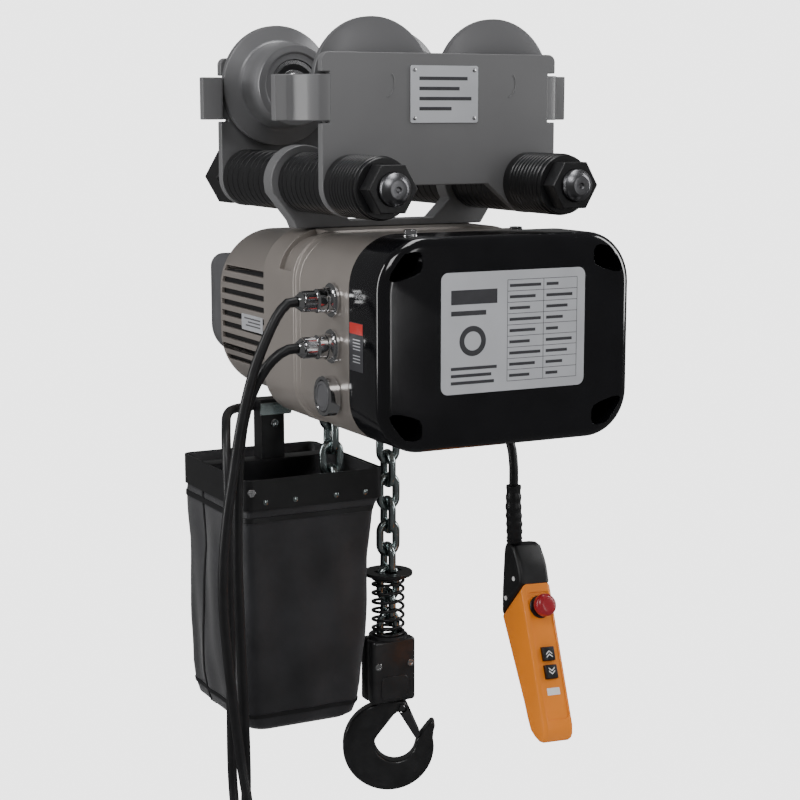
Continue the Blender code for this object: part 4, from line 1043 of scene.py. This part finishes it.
def bagSurface(count=168):
    rows = []
    top, low = bagRings[0][0], bagRings[-1][0]
    for z in bagLevels():
        left, right, front, back = bagInsets(z)
        depth = max(0.0, (-0.520 - z) / (-0.520 - low))
        radius = 0.011 + 0.012 * min(depth * 2, 1)
        ring = evenRing(flatRing(bag["x"][0] + left, bag["x"][1] - right, bag["y"][0] + front,
                                 bag["y"][1] - back, radius, z), count)
        rows.append([bagPoint(ring, n, depth) for n in range(count)])
    # the floor closes in on its middle
    last = rows[-1]
    middle = sum(last, Vector()) / count
    for t in (0.25, 0.5, 0.75, 0.97):
        rows.append([p.lerp(middle, t) + Vector((0, 0, -0.0012 * t)) for p in last])
    return rows


def addBagCloth():
    rows = bagSurface()
    bm = loft(rows, capped=False)
    bm.verts.ensure_lookup_table()
    bm.faces.new(bm.verts[-len(rows[0]):])
    layer = bm.loops.layers.uv.new("weave")
    count = len(rows[0])
    bm.verts.ensure_lookup_table()
    index = {v: i for i, v in enumerate(bm.verts)}
    for face in bm.faces:
        wraps = {index[loop.vert] % count for loop in face.loops} >= {0, count - 1}
        for loop in face.loops:
            row, column = divmod(index[loop.vert], count)
            around = column / count + (1 if wraps and column == 0 else 0)
            loop[layer].uv = (around * 0.90, sum(
                (rows[k + 1][0] - rows[k][0]).length for k in range(min(row, 55))))
    obj = addPiece(bm, "bagCloth", "hoist", "satinBlack", ("chain_bag",), smooth=80)
    obj.data.materials.clear()
    obj.data.materials.append(makeClothMaterial("bagWeave"))
    solid = obj.modifiers.new("cloth", "SOLIDIFY")
    solid.thickness, solid.offset = bag["skin"], -1
    return obj, rows


def makeClothMaterial(name):
    material = bpy.data.materials.new(name)
    material.use_nodes = True
    tree = material.node_tree
    shader = tree.nodes["Principled BSDF"]
    shader.inputs["Sheen Weight"].default_value = 0.25
    shader.inputs["Sheen Roughness"].default_value = 0.4
    shader.inputs["Coat Weight"].default_value = 0.12
    shader.inputs["Coat Roughness"].default_value = 0.35
    place = tree.nodes.new("ShaderNodeUVMap")
    place.uv_map = "weave"
    heights = []
    for direction in ("X", "Y"):
        wave = tree.nodes.new("ShaderNodeTexWave")
        wave.wave_type, wave.bands_direction = "BANDS", direction
        wave.inputs["Scale"].default_value = 190.0
        wave.inputs["Distortion"].default_value = 0.4
        tree.links.new(place.outputs["UV"], wave.inputs["Vector"])
        heights.append(wave.outputs["Fac"])
    weave = tree.nodes.new("ShaderNodeMath")
    weave.operation = "MULTIPLY"
    tree.links.new(heights[0], weave.inputs[0])
    tree.links.new(heights[1], weave.inputs[1])
    relief = tree.nodes.new("ShaderNodeBump")
    relief.inputs["Strength"].default_value = 0.35
    relief.inputs["Distance"].default_value = 0.0008
    tree.links.new(weave.outputs["Value"], relief.inputs["Height"])
    tree.links.new(relief.outputs["Normal"], shader.inputs["Normal"])
    broad = noiseNode(tree, place.outputs["UV"], 12)
    tree.links.new(spreadColour(tree, broad, (0.017, 0.017, 0.020), 0.35),
                   shader.inputs["Base Color"])
    spread = tree.nodes.new("ShaderNodeMapRange")
    spread.inputs["To Min"].default_value = 0.34
    spread.inputs["To Max"].default_value = 0.52
    tree.links.new(broad, spread.inputs["Value"])
    tree.links.new(spread.outputs["Result"], shader.inputs["Roughness"])
    return material


def ribbon(centres, outs, width, lift):
    # flat band along centres, lying lift outside the cloth
    rings = []
    for i, (centre, out) in enumerate(zip(centres, outs)):
        before, after = centres[max(i - 1, 0)], centres[min(i + 1, len(centres) - 1)]
        along = (after - before).normalized()
        across = along.cross(out).normalized() * (width / 2)
        low, high = centre - out * 0.0002, centre + out * lift
        rings.append([low - across, low + across, high + across * 0.9, high - across * 0.9])
    return loft(rings)


def outwards(rows, row, n):
    count = len(rows[0])
    around = rows[row][(n + 1) % count] - rows[row][n - 1]
    down = rows[min(row + 1, len(rows) - 1)][n] - rows[max(row - 1, 0)][n]
    out = around.cross(down)
    out = -out if out.dot(rows[row][n] - Vector((-0.13, 0.067, rows[row][n].z))) < 0 else out
    return out.normalized()


def addBagTrim(rows):
    # one seam runs down the front, another down the back
    for n, column in enumerate((137, 55)):
        levels = range(2, len(rows) - 5)
        centres = [rows[k][column] for k in levels]
        outs = [outwards(rows, k, column) for k in levels]
        piece = addPiece(ribbon(centres, outs, 0.0060, 0.0012), f"bagSeam{n}", "hoist",
                         "softBlack", smooth=50)
    # hems run round the bag under the frame and above the floor
    for name, row, width in (("bagHemTop", 4, 0.008), ("bagHemFloor", len(rows) - 11, 0.006)):
        count = len(rows[0])
        centres = [rows[row][n % count] for n in range(count + 1)]
        outs = [outwards(rows, row, n % count) for n in range(count + 1)]
        addPiece(ribbon(centres, outs, width, 0.0012), name, "hoist", "softBlack",
                             smooth=50)


def addBag():
    x0, x1 = bag["x"]
    y0, y1 = bag["y"]

    def strip(inset, z):
        return flatRing(x0 + inset, x1 - inset, y0 + inset, y1 - inset, 0.014 - inset, z, 10)

    low, rim, thick = bag["frameLow"], bag["rim"], bag["strip"]
    band = loft([strip(0, low), strip(0, rim), strip(thick, rim), strip(thick, low)], closed=True)
    addPiece(band, "bagFrame", "hoist", "satinBlack", ("bag_frame",), bevel=0.0005)
    bar = block((x0 + 0.001, 0.080, -0.4744), (x1 - 0.001, 0.110, -0.4730), 0.0003)
    addPiece(bar, "bagCrossbar", "hoist", "satinBlack")
    post = [(-0.155, -0.3856), (-0.050, -0.3856), (-0.050, -0.3906), (-0.117, -0.3906),
            (-0.117, -0.4729), (-0.153, -0.4729), (-0.153, -0.3906), (-0.155, -0.3906)]
    addPiece(extruded(post, 0.080, 0.110), "bagPost", "hoist", "satinBlack", ("bag_post",),
             bevel=0.0010)
    for n, x in enumerate((-0.205, -0.160, -0.098, -0.053)):
        profile = [(0, y0 + 0.0002), (0.0042, y0 + 0.0002), (0.0038, y0 - 0.0012),
                   (0.0020, y0 - 0.0020), (0, y0 - 0.0022)]
        addPiece(turned(profile, (x, 0, -0.505), steps=28), f"bagRivet{n}", "hoist", "zinc")
    addPiece(hexPrism((-0.226, 0, -0.490), 0.0060, y0 + 0.0002, y0 - 0.0042, "y", 0, 0.0006),
             "bagBolt", "hoist", "brightSteel", smooth=25)
    bracket = [(-0.1560, -0.3900), (-0.0900, -0.3900), (-0.0900, -0.3935), (-0.1050, -0.3990),
               (-0.1080, -0.4080), (-0.1560, -0.4080)]
    addPiece(extruded(bracket, 0.0765, 0.0797), "bagBracket", "hoist", "zinc", bevel=0.0006)
    addSocketScrew("bagBracketScrew", (-0.1340, 0.0797, -0.4200), 0.0060, 0.0052, "y")
    cloth, rows = addBagCloth()
    addBagTrim(rows)
    print("bag made")


# pendant
pendant = {"top": (0.1435, -0.195, -0.6283), "down": (-0.05, -0.4067, -0.9135),
           "half": 0.0235, "stop": 0.033, "up": 0.099, "downKey": 0.124}


def pendantFrame():
    down = Vector(pendant["down"]).normalized()
    across = (Vector((1, 0, 0)) - down * down.x).normalized()
    rows = Matrix((across, down, down.cross(across))).transposed().to_4x4()
    return Matrix.Translation(pendant["top"]) @ rows


def pendantPiece(bm, name, finish, body="hoist", stands=(), **options):
    bmesh.ops.transform(bm, matrix=pendantFrame(), verts=bm.verts)
    return addPiece(bm, name, body, finish, stands, **options)


def addPendant():
    shape = ((0, 0), (0.199, 0), (0.212, -0.004), (0.2165, -0.009), (0.218, -0.014),
             (0.2178, -0.020), (0.216, -0.026), (0.208, -0.036), (0.198, -0.044),
             (0.180, -0.0475), (0.160, -0.0495), (0.0307, -0.0717))
    head = ((-0.0004, -0.0002), (-0.012, 0.0006), (-0.024, 0.0009), (-0.036, -0.0008),
            (-0.046, -0.0040), (-0.0559, -0.0069), (-0.0625, -0.0160), (-0.0657, -0.0288),
            (-0.0600, -0.0350), (-0.049, -0.0406), (-0.0032, -0.0604), (0.0303, -0.0719))
    half = pendant["half"]

    def rounded(outline):
        bm = extruded(outline, -half, half, "yz")
        rims = [e for e in bm.edges if abs(e.verts[0].co[0] - e.verts[1].co[0]) < 1e-7]
        bmesh.ops.bevel(bm, geom=rims, offset=0.0068, segments=6, profile=0.5, affect="EDGES",
                        clamp_overlap=True, material=-1)
        return bm

    panel = extruded(roundedOutline(-0.0175, 0.0175, 0.012, 0.190, 0.006, 8), -0.0012, 0.01, "xy")
    stem = turned([(0, -0.012), (0.0105, -0.012), (0.0105, 0.01), (0, 0.01)],
                  (0, pendant["stop"], 0), "z", 48)
    keys = [block((-0.0095, v - 0.0098, -0.010), (0.0095, v + 0.0098, 0.01))
            for v in (pendant["up"], pendant["downKey"])]
    pendantPiece(cut(rounded(shape), panel, stem, *keys), "pendantBody", "pendantOrange",
                 stands=("pendant_body",), smooth=32, bevel=0.0005)
    pendantPiece(rounded(head), "pendantHead", "softBlack", stands=("pendant_head",), smooth=32)
    base = turned([(0.0108, -0.0014), (0.0158, -0.0014), (0.0160, -0.0002), (0.0152, 0.0014),
                   (0.0108, 0.0020)], (0, pendant["stop"], 0), "z", bored=True)
    pendantPiece(base, "stopCollar", "softBlack")
    knob = turned([(0, -0.007), (0.0098, -0.007), (0.0098, 0.0062), (0.0140, 0.0076),
                   (0.0156, 0.0098), (0.0160, 0.0140), (0.0154, 0.0180), (0.0136, 0.0210),
                   (0.0100, 0.0226), (0.0050, 0.0230), (0, 0.0231)], (0, pendant["stop"], 0), "z")
    pendantPiece(knob, "stopButton", "buttonRed", "stop_key", ("stop_button",), smooth=50)
    for name, v, flip in (("up", pendant["up"], -1), ("down", pendant["downKey"], 1)):
        key = block((-0.0092, v - 0.0095, -0.006), (0.0092, v + 0.0095, 0.004), 0.0012, 3)
        pendantPiece(key, f"{name}Key", "softBlack", f"{name}_key", (f"{name}_button",),
                     smooth=40)
        arrows = []
        for shift in (-0.0022, 0.0022):
            tip = v + flip * (shift + 0.0020)
            chevron = [(0, tip), (-0.0048, tip - flip * 0.0040), (-0.0048, tip - flip * 0.0058),
                       (0, tip - flip * 0.0018), (0.0048, tip - flip * 0.0058),
                       (0.0048, tip - flip * 0.0040)]
            arrows.append(extruded(chevron, 0.0039, 0.0042, "xy"))
        pendantPiece(merged(*arrows), f"{name}KeyMark", "keyWhite", f"{name}_key")
    label = extruded(roundedOutline(-0.010, 0.010, 0.146, 0.156, 0.001, 4), -0.0013, -0.0008,
                     "xy")
    pendantPiece(label, "pendantLabel", "keyWhite")
    for n, (v, w) in enumerate(((-0.012, -0.020), (0.010, -0.050))):
        screw = turned([(0, -half - 0.0010), (0.0030, -half - 0.0010), (0.0034, -half - 0.0004),
                        (0.0034, -half + 0.0004), (0, -half + 0.0004)], (0, v, w), "x", 28)
        pendantPiece(screw, f"pendantScrew{n}", "keyWhite")
    stations = ((0.1200, -0.1700, -0.4900, 0.0092), (0.1200, -0.1700, -0.4905, 0.0100),
                (0.1200, -0.1700, -0.5200, 0.0110), (0.1225, -0.1685, -0.5450, 0.0112),
                (0.1270, -0.1620, -0.5680, 0.0108), (0.1310, -0.1550, -0.5775, 0.0108))
    rings = []
    for (a, b) in zip(stations[1:], stations[2:]):
        for i in range(8):
            t = i / 8
            x, y, z, r = (u + (v - u) * t for u, v in zip(a, b))
            ridge = 0.0005 if i % 4 < 2 else -0.0004
            rings.append([(x + u, y + v, z) for u, v in arc((0, 0), r + ridge, 0, 352.5, 47)])
    addPiece(loft(rings), "pendantBoot", "hoist", "softBlack", ("pendant_boot",), smooth=40)
    print("pendant made")


# pieces carried over from the CAD keep their shape and take a finish
carriedFinishes = {
    "load_sheave": "greySteel", "drive_gear": "greySteel", "motor_rotor": "brightSteel",
    "brake_disc": "satinBlack", "motor_stator": "copperWire", "contactor": "capGrey",
}


def finishCarried():
    for name, node in nodes.items():
        if node.hide_render:
            continue
        node.data.materials.clear()
        node.data.materials.append(materials[carriedFinishes[name]])
    print("carried", sorted(n for n, o in nodes.items() if not o.hide_render))


# studio
studio = {"floorGap": 0.02, "floorSize": 9.0, "seen": 3.2, "ambient": 0.42, "mirrored": 0.10}


def addWorld():
    # the backdrop is white to the eye, dimmer as light, and dark in mirror-like surfaces
    world = bpy.data.worlds.new("studio")
    bpy.context.scene.world = world
    world.use_nodes = True
    tree = world.node_tree
    path = tree.nodes.new("ShaderNodeLightPath")
    strengths = []
    for value in ("ambient", "mirrored", "seen"):
        background = tree.nodes.new("ShaderNodeBackground")
        background.inputs["Color"].default_value = (1, 1, 1, 1)
        background.inputs["Strength"].default_value = studio[value]
        strengths.append(background.outputs["Background"])
    current = strengths[0]
    for ray, other in (("Is Glossy Ray", strengths[1]), ("Is Camera Ray", strengths[2])):
        mix = tree.nodes.new("ShaderNodeMixShader")
        tree.links.new(path.outputs[ray], mix.inputs["Fac"])
        tree.links.new(current, mix.inputs[1])
        tree.links.new(other, mix.inputs[2])
        current = mix.outputs["Shader"]
    tree.links.new(current, tree.nodes["World Output"].inputs["Surface"])


def addStudio():
    lowest = min(corner[2] for corner in cadBounds)
    bm = bmesh.new()
    bmesh.ops.create_grid(bm, x_segments=1, y_segments=1, size=studio["floorSize"])
    mesh = bpy.data.meshes.new("floor")
    bm.to_mesh(mesh)
    bm.free()
    floor = bpy.data.objects.new("floor", mesh)
    floor.location.z = lowest - studio["floorGap"]
    material = bpy.data.materials.new("paleFloor")
    material.use_nodes = True
    tree = material.node_tree
    shader = tree.nodes["Principled BSDF"]
    shader.inputs["Base Color"].default_value = (0.93, 0.93, 0.93, 1)
    shader.inputs["Roughness"].default_value = 0.9
    path, mix = tree.nodes.new("ShaderNodeLightPath"), tree.nodes.new("ShaderNodeMixShader")
    glow = tree.nodes.new("ShaderNodeEmission")
    glow.inputs["Strength"].default_value = studio["seen"]
    tree.links.new(path.outputs["Is Camera Ray"], mix.inputs["Fac"])
    tree.links.new(shader.outputs["BSDF"], mix.inputs[1])
    tree.links.new(glow.outputs["Emission"], mix.inputs[2])
    tree.links.new(mix.outputs["Shader"], tree.nodes["Material Output"].inputs["Surface"])
    mesh.materials.append(material)
    bpy.context.scene.collection.objects.link(floor)
    floor.visible_glossy = False
    lights = (
        ("keyLight", (-2.0, -2.4, 2.4), (1.4, 1.4), 48),
        ("rimRight", (2.3, -0.9, 0.5), (0.5, 2.2), 30),
        ("rimLeft", (-2.4, 0.6, 0.4), (0.6, 2.4), 34),
        ("topLight", (0.3, -0.2, 2.6), (2.4, 0.9), 46),
        ("frontLight", (0.9, -3.4, 0.2), (0.35, 2.0), 9),
    )
    for name, place, size, power in lights:
        data = bpy.data.lights.new(name, "AREA")
        data.shape = "RECTANGLE"
        data.energy, data.size, data.size_y = power, *size
        light = bpy.data.objects.new(name, data)
        light.location = place
        aim = Vector((0, 0, -0.35)) - Vector(place)
        light.rotation_euler = aim.to_track_quat("-Z", "Y").to_euler()
        bpy.context.scene.collection.objects.link(light)
    addWorld()
    print("studio made")


def build():
    addCamera()
    makeMaterials()
    addCords()
    addTrolley()
    addCover()
    addHousings()
    addMotor()
    addRatingLabel()
    addSticker()
    addVentPlate()
    addFittings()
    addChains()
    addLimitStop()
    addHookBlock()
    addHook()
    addBag()
    addPendant()
    finishCarried()
    addStudio()


build()
